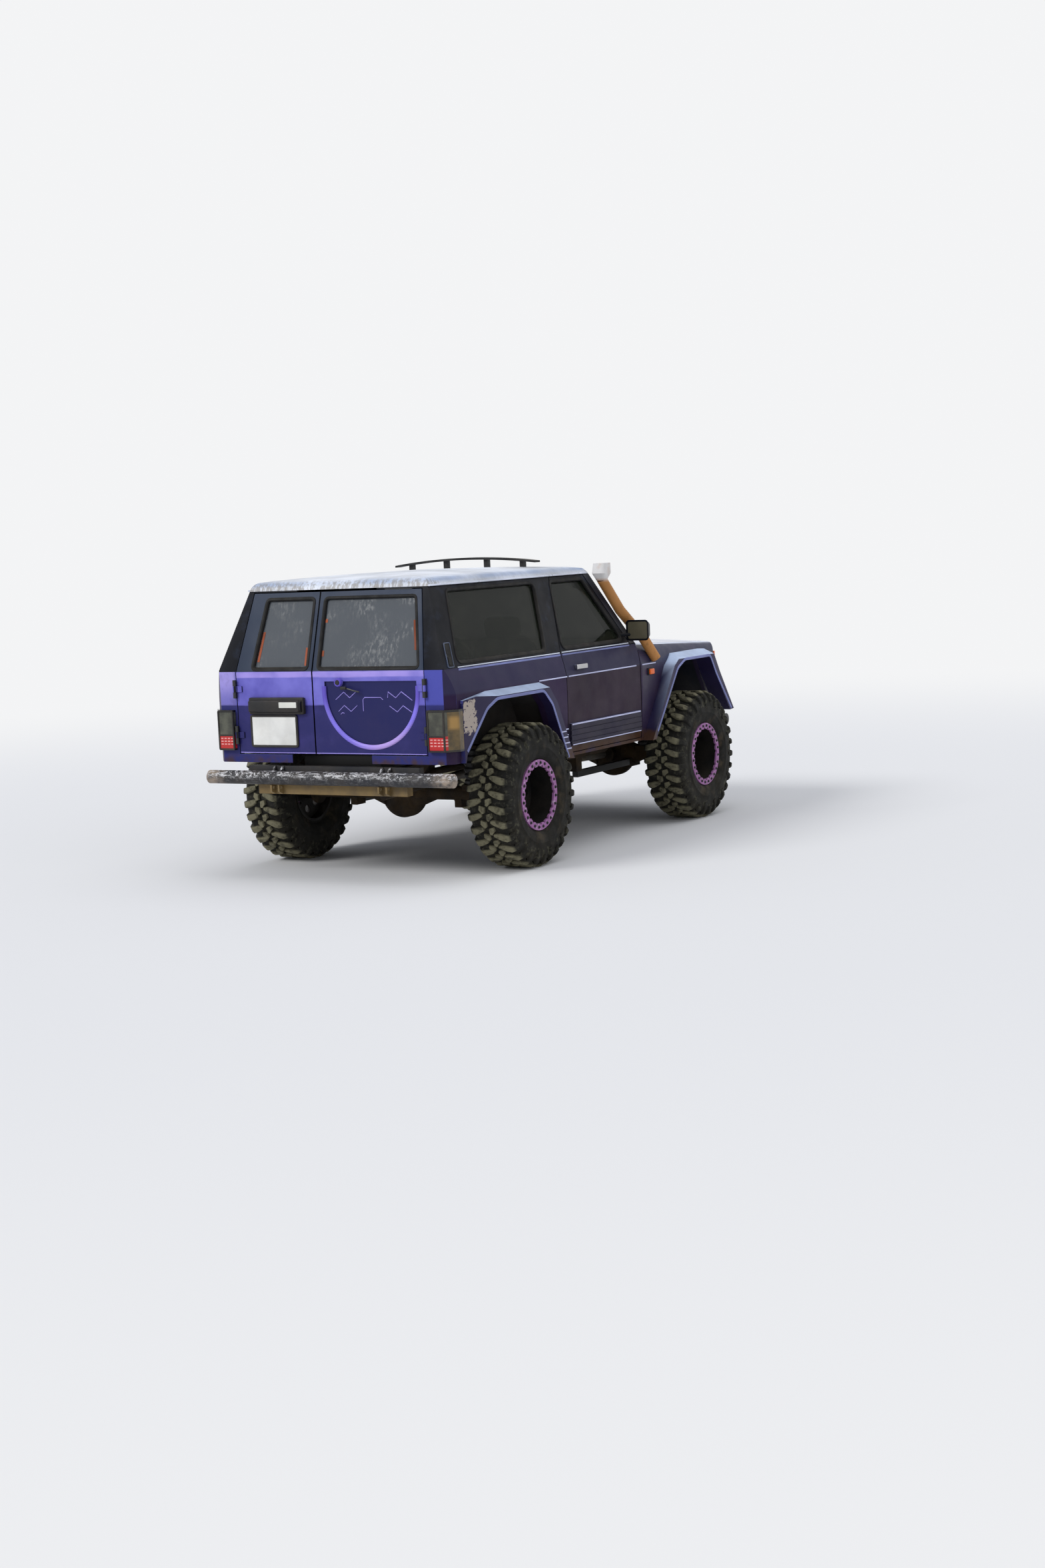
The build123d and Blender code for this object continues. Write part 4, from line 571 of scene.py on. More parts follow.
@dataclass(frozen=True)
class RearDoorPaint(BodyPaint):
    """Rear door paint: painted light over the fold line, painted shade below it, and darker in the round
    recess.
    """

    fold: float = 1.096
    # deep: the colour below the fold, painted shade
    deep: Colour = srgb(40, 40, 98)
    floor: Colour = srgb(32, 34, 86)
    # edge: the pale strip under the windows, a painted highlight on the ledge
    edge: Colour = srgb(168, 152, 230)
    recess_x: float = -0.312

    def own(self, make: Nodes, colour: Socket, place: tuple[Socket, Socket, Socket]) -> Socket:
        """Painted light above the fold and painted shade below it, a pale strip under the windows as a
        painted highlight, the recess's floor and chips along the foot.

        Args:
            make: the maker of the material's nodes.
            colour: the colour so far.
            place: the object coordinates.

        Returns:
            The panel's colour.
        """
        x, y, z = place
        wave = make.times(make.minus(make.noise(3, 4), 0.5), 0.02)
        level = make.plus(z, wave)
        # Lighter above the fold and darker below it: painted light and painted shade.
        light = make.mix(make.grains(3.4, 5, 0.35, 0.72), srgb(92, 88, 180), srgb(122, 118, 208))
        colour = make.mix(make.span(level, self.fold - 0.006, self.fold + 0.006), self.deep, light)
        colour = make.mix(make.times(make.grains(6, 5, 0.45, 0.75), 0.25), colour, srgb(72, 66, 156))
        # A pale strip under the windows: painted highlight along the ledge.
        strip = make.times(make.band(level, 1.268, 1.304, 0.006), make.grains(4, 3, 0.3, 0.6, 0.3, 0.95))
        colour = make.mix(strip, colour, self.edge)
        sunk = make.under(y, TAIL_SKIN - 0.0035)
        away = make.under(make.plain(make.minus(x, self.recess_x)), 0.345)
        inside = make.times(make.times(sunk, away), make.band(z, 0.83, 1.262, 0.002))
        colour = make.mix(inside, colour, self.floor)
        foot = make.times(make.band(z, 0.772, 0.792, 0.003), make.over(make.noise(38, 4), 0.60))
        colour = make.mix(foot, colour, srgb(196, 186, 190))
        proud = make.over(y, TAIL_SKIN + 0.0015)
        lamp = make.times(make.band(x, 0.15, 0.63, 0.002), make.band(z, 0.83, 1.16, 0.002))
        return make.mix(make.times(proud, lamp), colour, srgb(24, 24, 26))


@dataclass(frozen=True)
class RoofPaint(Finish):
    """Chalky roof paint with dirt running down its rims."""

    def pattern(self, make: Nodes, colour: Socket) -> Layers:
        """Dirt streaks down the edge and blotches on top.

        Args:
            make: the maker of the material's nodes.
            colour: the colour so far.

        Returns:
            The colour, and where there are any, a roughness and a height.
        """
        _, y, z = make.split(make.place())
        across = make.noise(44, 4, 0.6, (1, 1, 0.03))
        rim = make.times(make.span(z, 1.868, 1.836),
                         make.span(y, REAR_AXLE + 0.50, REAR_AXLE + 0.60, 0.16, 1.0))
        band = make.times(make.band(z, 1.828, 1.856, 0.012), make.grains(3, 3, 0.3, 0.6, 0.3, 0.8))
        colour = make.mix(band, colour, srgb(158, 178, 212))
        streak = make.times(make.span(across, 0.42, 0.60), rim)
        colour = make.mix(make.times(streak, 0.62), colour, srgb(128, 118, 102))
        blotch = make.span(make.noise(5, 6, 0.65), 0.5, 0.8, 0.0, 0.35)
        colour = make.mix(blotch, colour, srgb(150, 158, 172))
        under = make.under(make.normal()[2], -0.35)
        colour = make.mix(under, colour, srgb(70, 68, 66))
        return colour, None, None


@dataclass(frozen=True)
class ScuffedTube(Finish):
    """Black bumper paint worn to pale metal in streaks, with a painted highlight along the tube's upper half,
    and a dusty beam below it.
    """

    def pattern(self, make: Nodes, colour: Socket) -> Layers:
        """Long pale streaks along X on the tube's outer half, partly scuffs and partly a painted highlight
        that is strongest on top, tan dust on the beam.

        Args:
            make: the maker of the material's nodes.
            colour: the colour so far.

        Returns:
            The colour, and where there are any, a roughness and a height.
        """
        x, y, z = make.split(make.place())
        scratch = make.noise(60, 5, 0.75, (0.22, 1, 1))
        spot = make.noise(46, 4, 0.8)
        patch = make.noise(2.4, 3, 0.5, (1, 0, 0))
        # Streaks are strongest on the upper half: painted highlight along the tube, partly real scuffs.
        sheen_on_upper_half = make.span(z, 0.632, 0.672)
        worn = make.times(make.span(make.most(scratch, spot), 0.53, 0.60), make.span(patch, 0.28, 0.55))
        worn = make.times(worn, make.plus(make.times(sheen_on_upper_half, 0.9), 0.07), clamp=True)
        tube = make.times(make.over(y, REAR_AXLE + 0.826), make.over(z, 0.603))
        end = make.times(make.span(make.plain(x), 0.74, 0.88), tube)
        colour = make.mix(make.times(end, make.grains(20, 5, 0.3, 0.6)), colour, srgb(150, 136, 122))
        colour = make.mix(make.times(worn, tube), colour, srgb(222, 222, 224))
        beam = make.under(z, 0.6015)
        colour = make.mix(make.times(beam, make.grains(8, 4, 0.25, 0.6, 0.55, 1.0)), colour,
                          srgb(124, 102, 62))
        return colour, None, None


@dataclass(frozen=True)
class WheelFinish(Finish):
    """A black dish inside a faded mauve ring with chipped edges."""

    ring: Colour = srgb(166, 112, 166)

    def pattern(self, make: Nodes, colour: Socket) -> Layers:
        """The ring by its place along the axle, worn in patches.

        Args:
            make: the maker of the material's nodes.
            colour: the colour so far.

        Returns:
            The colour, and where there are any, a roughness and a height.
        """
        x, _, _ = make.split(make.place())
        outer = make.over(make.plain(x), HALF_TRACK + 0.1205)
        worn = make.mix(make.span(make.noise(30, 6, 0.7), 0.52, 0.68, 0.0, 0.8), self.ring, srgb(96, 66, 84))
        worn = make.mix(make.grains(60, 4, 0.58, 0.66), worn, srgb(206, 176, 206))
        return make.mix(outer, colour, worn), None, None


@dataclass(frozen=True)
class TyreFinish(Finish):
    """Black tyre rubber, its lugs' crowns worn grey-tan, a little mud by the rim."""

    axle_y: float = REAR_AXLE

    def pattern(self, make: Nodes, colour: Socket) -> Layers:
        """Mud by the distance from the axle.

        Args:
            make: the maker of the material's nodes.
            colour: the colour so far.

        Returns:
            The colour, and where there are any, a roughness and a height.
        """
        _, y, z = make.split(make.place())
        dy = make.minus(y, self.axle_y)
        dz = make.minus(z, AXLE_HEIGHT)
        radius = make.length(dy, dz)
        crown = make.span(radius, 0.434, 0.4500)
        grip = make.span(make.noise(26, 5, 0.65), 0.30, 0.56, 0.25, 1.0)
        colour = make.mix(make.times(crown, grip), colour, srgb(120, 116, 94))
        flank = make.times(make.band(radius, 0.335, 0.437, 0.012),
                           make.span(make.noise(30, 5, 0.7), 0.50, 0.68))
        colour = make.mix(make.times(flank, 0.55), colour, srgb(96, 94, 78))
        caked = make.times(make.span(radius, 0.36, 0.25), make.grains(12, 5, 0.50, 0.72, 0.0, 0.35))
        colour = make.mix(caked, colour, srgb(92, 80, 62))
        return colour, None, make.noise(160, 4)


@dataclass(frozen=True)
class SnorkelFinish(Finish):
    """Sun-faded tan plastic, with a white painted highlight on the head."""

    def pattern(self, make: Nodes, colour: Socket) -> Layers:
        """A white painted highlight high up, painted shade on forward faces, and brown scuffs along the pipe.

        Args:
            make: the maker of the material's nodes.
            colour: the colour so far.

        Returns:
            The colour, and where there are any, a roughness and a height.
        """
        _, _, z = make.split(make.place())
        # White high on the head: painted highlight.
        white = make.times(make.span(z, 1.735, 1.775), make.grains(14, 4, 0.3, 0.5, 0.7, 1.0))
        colour = make.mix(make.span(make.noise(18, 5, 0.7, (1, 1, 0.4)), 0.52, 0.74, 0.0, 0.8), colour,
                          srgb(98, 64, 34))
        # Darker on forward-facing faces: painted shade.
        shade = make.normal()[1]
        colour = make.mix(make.span(shade, -0.1, -0.6, 0.0, 0.8), colour, srgb(66, 56, 36))
        return make.mix(white, colour, srgb(226, 224, 222)), None, None


@dataclass(frozen=True)
class LampFinish(Finish):
    """A tail lamp lens: smoked above, red with pale bars below, amber round the corner."""

    def pattern(self, make: Nodes, colour: Socket) -> Layers:
        """The lens's zones by height and by side, with a painted highlight on the amber corner.

        Args:
            make: the maker of the material's nodes.
            colour: the colour so far.

        Returns:
            The colour, and where there are any, a roughness and a height.
        """
        x, y, z = make.split(make.place())
        side = make.over(make.plain(x), 0.862)
        rows = make.math("FRACT", make.times(z, 55.0))
        columns = make.math("FRACT", make.times(x, 38.0))
        bars = make.times(make.over(rows, 0.62), make.under(columns, 0.66))
        red = make.mix(make.times(bars, make.band(z, 0.842, 0.900)), srgb(190, 22, 26), srgb(236, 170, 166))
        smoked = make.mix(make.grains(14, 3, 0.3, 0.7), srgb(50, 52, 46), srgb(84, 86, 74))
        colour = make.mix(make.span(z, 0.907, 0.911), red, smoked)
        # A brighter amber patch high on the corner: painted highlight.
        amber_highlight = make.times(make.band(z, 0.950, 1.025, 0.016),
                           make.band(y, TAIL_SKIN - 0.050, TAIL_SKIN + 0.002, 0.016))
        dim = make.mix(make.grains(16, 4, 0.35, 0.65), srgb(70, 58, 34), srgb(104, 84, 46))
        amber = make.mix(make.times(amber_highlight, 0.8), dim, srgb(176, 136, 70))
        colour = make.mix(side, colour, amber)
        frame = make.minus(1.0, make.band(z, 0.824, 1.052, 0.002))
        return make.mix(frame, colour, srgb(14, 14, 15)), None, make.times(rows, 0.3)


@dataclass(frozen=True)
class ArcFinish(Finish):
    """The recess's rim: pale violet at the foot as a painted highlight, fading up its right side."""

    def pattern(self, make: Nodes, colour: Socket) -> Layers:
        """A painted highlight, palest at the foot, and the door's own violet towards the top.

        Args:
            make: the maker of the material's nodes.
            colour: the colour so far.

        Returns:
            The colour, and where there are any, a roughness and a height.
        """
        x, _, z = make.split(make.place())
        # Pale at the foot: painted highlight.
        pale = make.times(make.span(z, 1.02, 0.86), make.span(x, -0.10, -0.42))
        colour = make.mix(pale, colour, srgb(186, 160, 232))
        fade = make.span(z, 1.02, 1.16, 0.0, 0.85)
        return make.mix(fade, colour, srgb(88, 72, 180)), None, None


@dataclass(frozen=True)
class FlutedLens(Finish):
    """Pressed lamp glass with upright flutes."""

    def pattern(self, make: Nodes, colour: Socket) -> Layers:
        """Light and dark flutes across X, and their height.

        Args:
            make: the maker of the material's nodes.
            colour: the colour so far.

        Returns:
            The colour, and where there are any, a roughness and a height.
        """
        x, _, z = make.split(make.place())
        flute = make.math("SINE", make.times(x, 620.0))
        row = make.over(make.math("FRACT", make.times(z, 19.0)), 0.06)
        lit = make.times(make.span(flute, -0.6, 0.8), row)
        return make.mix(lit, colour, srgb(186, 192, 198)), None, flute


@dataclass(frozen=True)
class FabricFinish(Finish):
    """Woven cloth with a fine weave and paler wear."""

    def pattern(self, make: Nodes, colour: Socket) -> Layers:
        """A crossed weave as colour and height.

        Args:
            make: the maker of the material's nodes.
            colour: the colour so far.

        Returns:
            The colour, and where there are any, a roughness and a height.
        """
        place = make.place()
        waves = []
        for direction in ("X", "Z"):
            wave = make.node("ShaderNodeTexWave", {"Vector": place, "Scale": 180.0, "Distortion": 0.6},
                             bands_direction=direction)
            waves.append(wave.outputs["Fac"])
        weave = make.times(waves[0], waves[1])
        return make.mix(weave, colour, srgb(78, 78, 84)), None, weave


@dataclass(frozen=True)
class GlassFinish:
    """Tinted window glass with a film of dust."""

    name: str
    tint: Colour = srgb(58, 66, 54)
    film: float = 0.05
    alpha: float = 0.72
    specular: float = 0.12

    def build(self) -> bpy.types.Material:
        """The glass as a material that lets some light through.

        Returns:
            The material.
        """
        known = bpy.data.materials.get(self.name)
        if known:
            return known
        material, make = Nodes.material(self.name)
        runs = make.span(make.noise(60, 4, 0.6, (1, 1, 0.35)), 0.38, 0.72)
        film = make.times(runs, make.grains(5, 5, 0.35, 0.7))
        deep = tuple(value * 0.22 for value in self.tint)
        inputs = {"Base Color": make.mix(make.times(film, self.film * 3), deep, srgb(116, 114, 100)),
                  "Alpha": make.plus(self.alpha, make.times(film, self.film), clamp=True),
                  "Roughness": make.plus(make.times(film, 0.35), 0.03),
                  "IOR": 1.5, "Specular IOR Level": self.specular}
        shader = make.node("ShaderNodeBsdfPrincipled", inputs)
        make.node("ShaderNodeOutputMaterial", {"Surface": shader.outputs[0]})
        return material


Surface = Finish | GlassFinish


class Finishes:
    """Every finish of the vehicle."""

    PAINT = BodyPaint("violet_body_paint", srgb(42, 28, 60), rough=0.42, metallic=0.1, coat=0.02, dust=0.06,
                      chip=0.2, peel=True, specular=0.10)
    # The rear door paint and its window surrounds are lighter than the sides' paint: painted light on the
    # sunlit rear face.
    REAR = RearDoorPaint("violet_rear_door_paint", srgb(84, 66, 170), rough=0.42, metallic=0.05, coat=0.06,
                         dust=0.05, chip=0.2, specular=0.18, slate=srgb(96, 78, 180),
                         pillar=srgb(44, 54, 72), flat=0.8)
    DOOR = DoorPaint("violet_front_door_paint", srgb(42, 28, 46), rough=0.42, metallic=0.1, coat=0.02,
                     dust=0.06, chip=0.2, specular=0.10, slate=srgb(48, 48, 74))
    WING = BodyPaint("violet_wing_paint", srgb(42, 32, 60), rough=0.42, metallic=0.05, coat=0.02, dust=0.06,
                     chip=0.25, pillars=False, lined=False, specular=0.25, slate=srgb(40, 44, 72),
                     bleach=srgb(216, 224, 242), flat=0.87)
    FLARE = BodyPaint("violet_flare_paint", srgb(32, 26, 64), rough=0.42, metallic=0.05, coat=0.02,
                      dust=0.06, chip=0.3, pillars=False, lined=False, specular=0.25,
                      slate=srgb(42, 40, 78), bleach=srgb(194, 212, 242), peel=True)
    NOSE = NosePaint("violet_nose_paint", srgb(52, 48, 102), rough=0.42, coat=0.03, dust=0.2, chip=0.4,
                     pillars=False, lined=False, specular=0.25, slate=srgb(46, 48, 86))
    # Paler than the other panels, near white on upward faces and with pale grey dust: painted sky reflection
    # on the hood, with some real dust.
    HOOD = BodyPaint("violet_hood_paint", srgb(92, 84, 160), rough=0.45, metallic=0.05, coat=0.1, dust=0.2,
                     chip=0.2, pillars=False, lined=False, bleach=srgb(238, 240, 246), dust_high=1.8,
                     specular=0.3, slate=srgb(58, 62, 112), flat=0.62, dust_colour=srgb(196, 196, 200))
    ROOF = RoofPaint("chalky_roof_paint", srgb(214, 218, 226), rough=0.55, dust=0.22, dust_low=1.0,
                     dust_high=2.4, dust_colour=srgb(150, 140, 122), chip=0.15,
                     chip_colour=srgb(120, 96, 76), specular=0.3)
    SLATE = Finish("slate_frame_paint", srgb(22, 26, 38), rough=0.45, dust=0.15, chip=0.2, specular=0.3)
    # Pale slate on the vent's frame: painted highlight on its edges.
    SLATE_EDGE = Finish("slate_edge", srgb(80, 92, 118), rough=0.45, dust=0.1, chip=0.4,
                        chip_colour=srgb(30, 34, 46))
    BLACK_STEEL = Finish("black_steel", srgb(22, 22, 23), rough=0.5, dust=0.35, chip=0.25,
                         chip_colour=srgb(120, 96, 78), specular=0.35)
    SCUFFED = ScuffedTube("scuffed_bumper_paint", srgb(34, 36, 42), rough=0.5, dust=0.12, chip=0.3,
                          specular=0.35, chip_colour=srgb(120, 84, 62))
    RUSTY = Finish("rusty_frame_steel", srgb(36, 30, 26), rough=0.75, dust=0.45, chip=0.6,
                   chip_colour=srgb(92, 56, 34), dust_high=1.1, grain=0.25, dust_colour=srgb(92, 74, 50),
                   specular=0.25)
    CAST = Finish("dusty_cast_iron", srgb(36, 30, 24), rough=0.8, dust=0.55, grain=0.4, dust_high=1.0,
                  dust_colour=srgb(96, 76, 50), specular=0.25)
    ALLOY = Finish("dull_cast_alloy", srgb(120, 116, 110), rough=0.55, metallic=0.7, dust=0.6, grain=0.3)
    RUBBER = Finish("black_rubber", srgb(17, 17, 18), rough=0.65, dust=0.12, grain=0.15, specular=0.25)
    PLASTIC = Finish("grained_black_plastic", srgb(24, 24, 26), rough=0.5, dust=0.18, grain=0.25,
                     grain_scale=420, specular=0.35)
    CABIN = Finish("cabin_plastic", srgb(44, 44, 48), rough=0.6, dust=0.2, grain=0.25, grain_scale=420)
    CARPET = Finish("floor_carpet", srgb(24, 21, 19), rough=0.95, dust=0.25, grain=0.8, grain_scale=600,
                    sheen=0.1, dust_colour=srgb(84, 68, 48), specular=0.2)
    CHROME = Finish("worn_chrome", srgb(190, 190, 192), rough=0.22, metallic=1.0, dust=0.2, chip=0.15,
                    chip_colour=srgb(110, 92, 80))
    BRIGHT = Finish("bright_trim", srgb(206, 212, 226), rough=0.3, metallic=0.4, dust=0.1)
    # Pale lines of the stripes and the crease; along the crease partly a painted highlight.
    PINLINE = Finish("pale_violet_line", srgb(196, 200, 236), rough=0.4, dust=0.1, chip=0.3,
                     chip_colour=srgb(70, 60, 120))
    # Lavender lines on the flares' edges and under the windows: painted sky reflection, with chips.
    LIP = Finish("lavender_lip", srgb(112, 120, 174), rough=0.45, dust=0.12, chip=0.4,
                 chip_colour=srgb(70, 60, 120))
    ARC = ArcFinish("pale_violet_arc", srgb(128, 116, 224), rough=0.4, coat=0.1, dust=0.05, chip=0.2,
                    specular=0.3, chip_colour=srgb(86, 68, 160))
    RIB = Finish("pale_rib_edge", srgb(146, 134, 212), rough=0.45, dust=0.05, chip=0.3,
                 chip_colour=srgb(86, 68, 160))
    PLATE = Finish("blank_white_plate", srgb(226, 226, 222), rough=0.35, dust=0.18, dust_low=0.8,
                   dust_high=1.2)
    SNORKEL = SnorkelFinish("faded_tan_plastic", srgb(184, 128, 70), rough=0.55, dust=0.1, grain=0.15,
                            specular=0.35)
    WHEEL = WheelFinish("dish_and_ring", srgb(12, 12, 13), rough=0.6, dust=0.16, dust_low=0.1, dust_high=1.2,
                        dust_colour=srgb(96, 84, 70), specular=0.3)
    TYRE_REAR = TyreFinish("muddy_rear_tyre", srgb(24, 24, 22), rough=0.85, dust=0.10, dust_low=0.1,
                           dust_high=0.9, dust_colour=srgb(112, 102, 80), grain=0.6, axle_y=REAR_AXLE,
                           specular=0.25)
    TYRE_FRONT = replace(TYRE_REAR, name="muddy_front_tyre", axle_y=FRONT_AXLE)
    LAMP = LampFinish("tail_lamp_lens", srgb(150, 20, 22), rough=0.22, coat=0.25, dust=0.12, specular=0.35)
    CLEAR = FlutedLens("clear_lamp_lens", srgb(104, 110, 118), rough=0.15, metallic=0.3, coat=0.5, dust=0.2)
    AMBER = Finish("amber_lens", srgb(240, 100, 14), rough=0.25, coat=0.15, dust=0.05, specular=0.3)
    PALE_LENS = Finish("pale_lens", srgb(214, 214, 206), rough=0.25, coat=0.5, dust=0.15)
    ORANGE = Finish("orange_tape", srgb(138, 70, 44), rough=0.6, dust=0.1, variation=0.3, specular=0.2)
    CLOTH = FabricFinish("dark_woven_cloth", srgb(44, 44, 48), rough=0.95, dust=0.2, grain=0.5, sheen=0.4)
    GLASS = GlassFinish("tinted_glass")
    REAR_GLASS = GlassFinish("dusty_rear_glass", tint=srgb(176, 186, 198), film=0.06, alpha=0.80,
                             specular=0.5)
    # Brownish grey mirror colour: a painted reflection of the surroundings, with real dust.
    MIRROR = Finish("dusty_mirror", srgb(118, 112, 92), rough=0.3, metallic=0.55, dust=0.4, dust_high=2.4,
                    dust_colour=srgb(104, 98, 78))


# Mesh building
class Builder:
    """Turns bmesh work into finished pieces that ride on a body."""

    @staticmethod
    def finish(name: str, mesh: bmesh.types.BMesh, finish: Surface, body: str, slot: str,
               smooth: float = 35.0, recalc: bool = True) -> bpy.types.Object:
        """A named piece from a bmesh.

        Args:
            name: the piece's name.
            mesh: its shape in the row frame, freed here.
            finish: its finish.
            body: the CAD body that carries it.
            slot: the record's material slot; not used.
            smooth: edges above this many degrees stay sharp.
            recalc: whether normals are worked out afresh.

        Returns:
            The new object.
        """
        bmesh.ops.remove_doubles(mesh, verts=mesh.verts, dist=0.00001)
        if recalc:
            bmesh.ops.recalc_face_normals(mesh, faces=mesh.faces)
        Builder.shade(mesh, smooth)
        data = bpy.data.meshes.new(name)
        mesh.to_mesh(data)
        mesh.free()
        data.materials.append(finish.build())
        made = new_object(name, data)
        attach(made, body)
        LOG.info("%s: %d faces on %s", name, len(data.polygons), body)
        return made

    @staticmethod
    def shade(mesh: bmesh.types.BMesh, smooth: float) -> None:
        """Smooth faces with sharp edges.

        Args:
            mesh: what is shaded.
            smooth: edges above this many degrees stay sharp.
        """
        limit = math.radians(smooth)
        for face in mesh.faces:
            face.smooth = True
        for edge in mesh.edges:
            edge.smooth = len(edge.link_faces) == 2 and edge.calc_face_angle(0) < limit

    @classmethod
    def blocks(cls, name: str, parts: Sequence[tuple], finish: Surface, body: str,
               slot: str) -> bpy.types.Object:
        """A piece made of plain boxes.

        Args:
            name: the piece's name.

        Returns:
            The new object.
        """
        mesh = bmesh.new()
        for part in parts:
            cls.box(mesh, *part)
        return cls.finish(name, mesh, finish, body, slot)

    @classmethod
    def swept(cls, name: str, path: Sequence[Vector], profile: Sequence[Flat], up: Point, finish: Surface,
              body: str, slot: str, closed: bool = False, smooth: float = 35.0) -> None:
        """A piece swept along one path.
        """
        mesh = bmesh.new()
        cls.sweep(mesh, path, profile, up, closed)
        cls.finish(name, mesh, finish, body, slot, smooth)

    @staticmethod
    def box(mesh: bmesh.types.BMesh, low: Point, high: Point, bevel: float = 0.0, segments: int = 2) -> None:
        """A box between two corners.

        Args:
            mesh: where the box is added.
            low, high: its corners.
            bevel: how far its edges are rounded.
            segments: steps of each rounded edge.
        """
        centre = [(a + b) / 2 for a, b in zip(low, high)]
        size = [abs(b - a) for a, b in zip(low, high)]
        matrix = Matrix.Translation(centre) @ Matrix.Diagonal((*size, 1))
        made = bmesh.ops.create_cube(mesh, size=1.0, matrix=matrix)
        if bevel:
            edges = {edge for vert in made["verts"] for edge in vert.link_edges}
            bmesh.ops.bevel(mesh, geom=list(edges), offset=bevel, segments=segments, affect="EDGES",
                            profile=0.6)

    @staticmethod
    def disc(mesh: bmesh.types.BMesh, start: Point, end: Point, radius: float, tip: Optional[float] = None,
             sides: int = 24) -> None:
        """A closed cylinder or cone.

        Args:
            mesh: where it is added.
            start, end: the middles of its ends.
            radius: its radius at the start.
            tip: its radius at the end, or None for the same.
            sides: how many sides it has.
        """
        a, b = Vector(start), Vector(end)
        turn = (b - a).to_track_quat("Z", "Y").to_matrix().to_4x4()
        bmesh.ops.create_cone(mesh, cap_ends=True, segments=sides, radius1=radius,
                              radius2=radius if tip is None else tip, depth=(b - a).length,
                              matrix=Matrix.Translation((a + b) / 2) @ turn)

    @staticmethod
    def loft(mesh: bmesh.types.BMesh, rings: Sequence[Sequence[bmesh.types.BMVert]], closed: bool = False,
             capped: bool = True) -> None:
        """Faces from ring to ring.

        Args:
            mesh: where the faces are added.
            rings: rings of vertices, each with the same number.
            closed: whether the last ring joins the first.
            capped: whether the ends of an open row of rings are filled.
        """
        count = len(rings[0])
        following = [*rings[1:], rings[0]] if closed else rings[1:]
        for first, second in zip(rings, following):
            for k in range(count):
                j = (k + 1) % count
                mesh.faces.new((first[k], first[j], second[j], second[k]))
        if capped and not closed:
            mesh.faces.new(rings[0][::-1])
            mesh.faces.new(rings[-1])

    @classmethod
    def sweep(cls, mesh: bmesh.types.BMesh, path: Sequence[Vector], profile: Sequence[Flat], up: Point,
              closed: bool = False) -> None:
        """A profile moved along a path.

        Args:
            mesh: where the sweep is added.
            path: its points.
            profile: (sideways, up) points of a closed outline.
            up: the profile's up direction.
            closed: whether the path's ends meet.
        """
        rings = []
        count = len(path)
        for index, point in enumerate(path):
            before = path[index - 1] if closed or index else point
            after = path[(index + 1) % count] if closed or index < count - 1 else point
            along = (after - before).normalized()
            across = along.cross(Vector(up).normalized()).normalized()
            rise = across.cross(along).normalized()
            bend = 1.0
            if 0 < index < count - 1 or closed:
                bend = 1 / max(0.6, abs((point - before).normalized().dot(along)))
            rings.append([mesh.verts.new(point + across * (u * bend) + rise * v) for u, v in profile])
        cls.loft(mesh, rings, closed)

    @staticmethod
    def taper(half: float, low: float, top: float, high: float) -> list[Flat]:
        """A sweep's profile: half its width and its height at the foot, then at the top."""
        return [(-half, low), (half, low), (top, high), (-top, high)]

    @staticmethod
    def round_profile(width: float, height: float, sides: int = 10) -> list[Flat]:
        """An oval profile for a sweep."""
        turns = [2 * math.pi * k / sides for k in range(sides)]
        return [(width / 2 * math.cos(turn), height / 2 * math.sin(turn)) for turn in turns]

    @staticmethod
    def curve(start: Vector, corner: Vector, end: Vector, steps: int) -> list[Flat]:
        """Points of a bend from a start to an end round a corner."""
        shares = [step / steps for step in range(steps + 1)]
        return [tuple(start * (1 - t) ** 2 + corner * 2 * t * (1 - t) + end * t ** 2) for t in shares]

    @classmethod
    def bent(cls, points: Sequence[Flat], reach: float, steps: int = 3) -> list[Flat]:
        """An open line with its corners rounded.

        Args:
            points: the line's corners.
            reach: how far from each corner the bend starts.
            steps: parts of each bend.

        Returns:
            The line's points.
        """
        result = [tuple(points[0])]
        for corners in zip(points, points[1:], points[2:]):
            a, b, c = (Vector(corner) for corner in corners)
            result += cls.curve(b + (a - b).normalized() * reach, b, b + (c - b).normalized() * reach, steps)
        result.append(tuple(points[-1]))
        return result

    @classmethod
    def rounded(cls, points: Sequence[Flat], radius: float, steps: int = 5) -> list[Flat]:
        """An outline with its corners rounded.

        Args:
            points: the outline's corners.
            radius: the corners' radius.
            steps: parts of each corner.

        Returns:
            The outline's points.
        """
        result = []
        count = len(points)
        for index in range(count):
            a, b, c = (Vector(points[(index + k) % count]) for k in (-1, 0, 1))
            to_a, to_c = (a - b).normalized(), (c - b).normalized()
            half = math.acos(max(-1, min(1, to_a.dot(to_c)))) / 2
            reach = min(radius / math.tan(half), (a - b).length * 0.45, (c - b).length * 0.45)
            result += cls.curve(b + to_a * reach, b, b + to_c * reach, steps)
        return result

    @classmethod
    def frame(cls, centre: Point, size: Flat, radius: float, steps: int = 5) -> list[Vector]:
        """A rounded rectangle that faces along Y.

        Args:
            centre: its middle.
            size: its size along X and Z.
            radius: its corners' radius.
            steps: parts of each corner.

        Returns:
            The rectangle's points.
        """
        x, y, z = centre
        half, rise = size[0] / 2, size[1] / 2
        corners = [(x - half, z - rise), (x + half, z - rise), (x + half, z + rise), (x - half, z + rise)]
        return [Vector((px, y, pz)) for px, pz in cls.rounded(corners, radius, steps)]

    @staticmethod
    def mirrored(points: Sequence[Vector], side: Side) -> list[Vector]:
        """Points of the left side, as they lie on a side."""
        return [Vector((side.value * point.x, point.y, point.z)) for point in points]


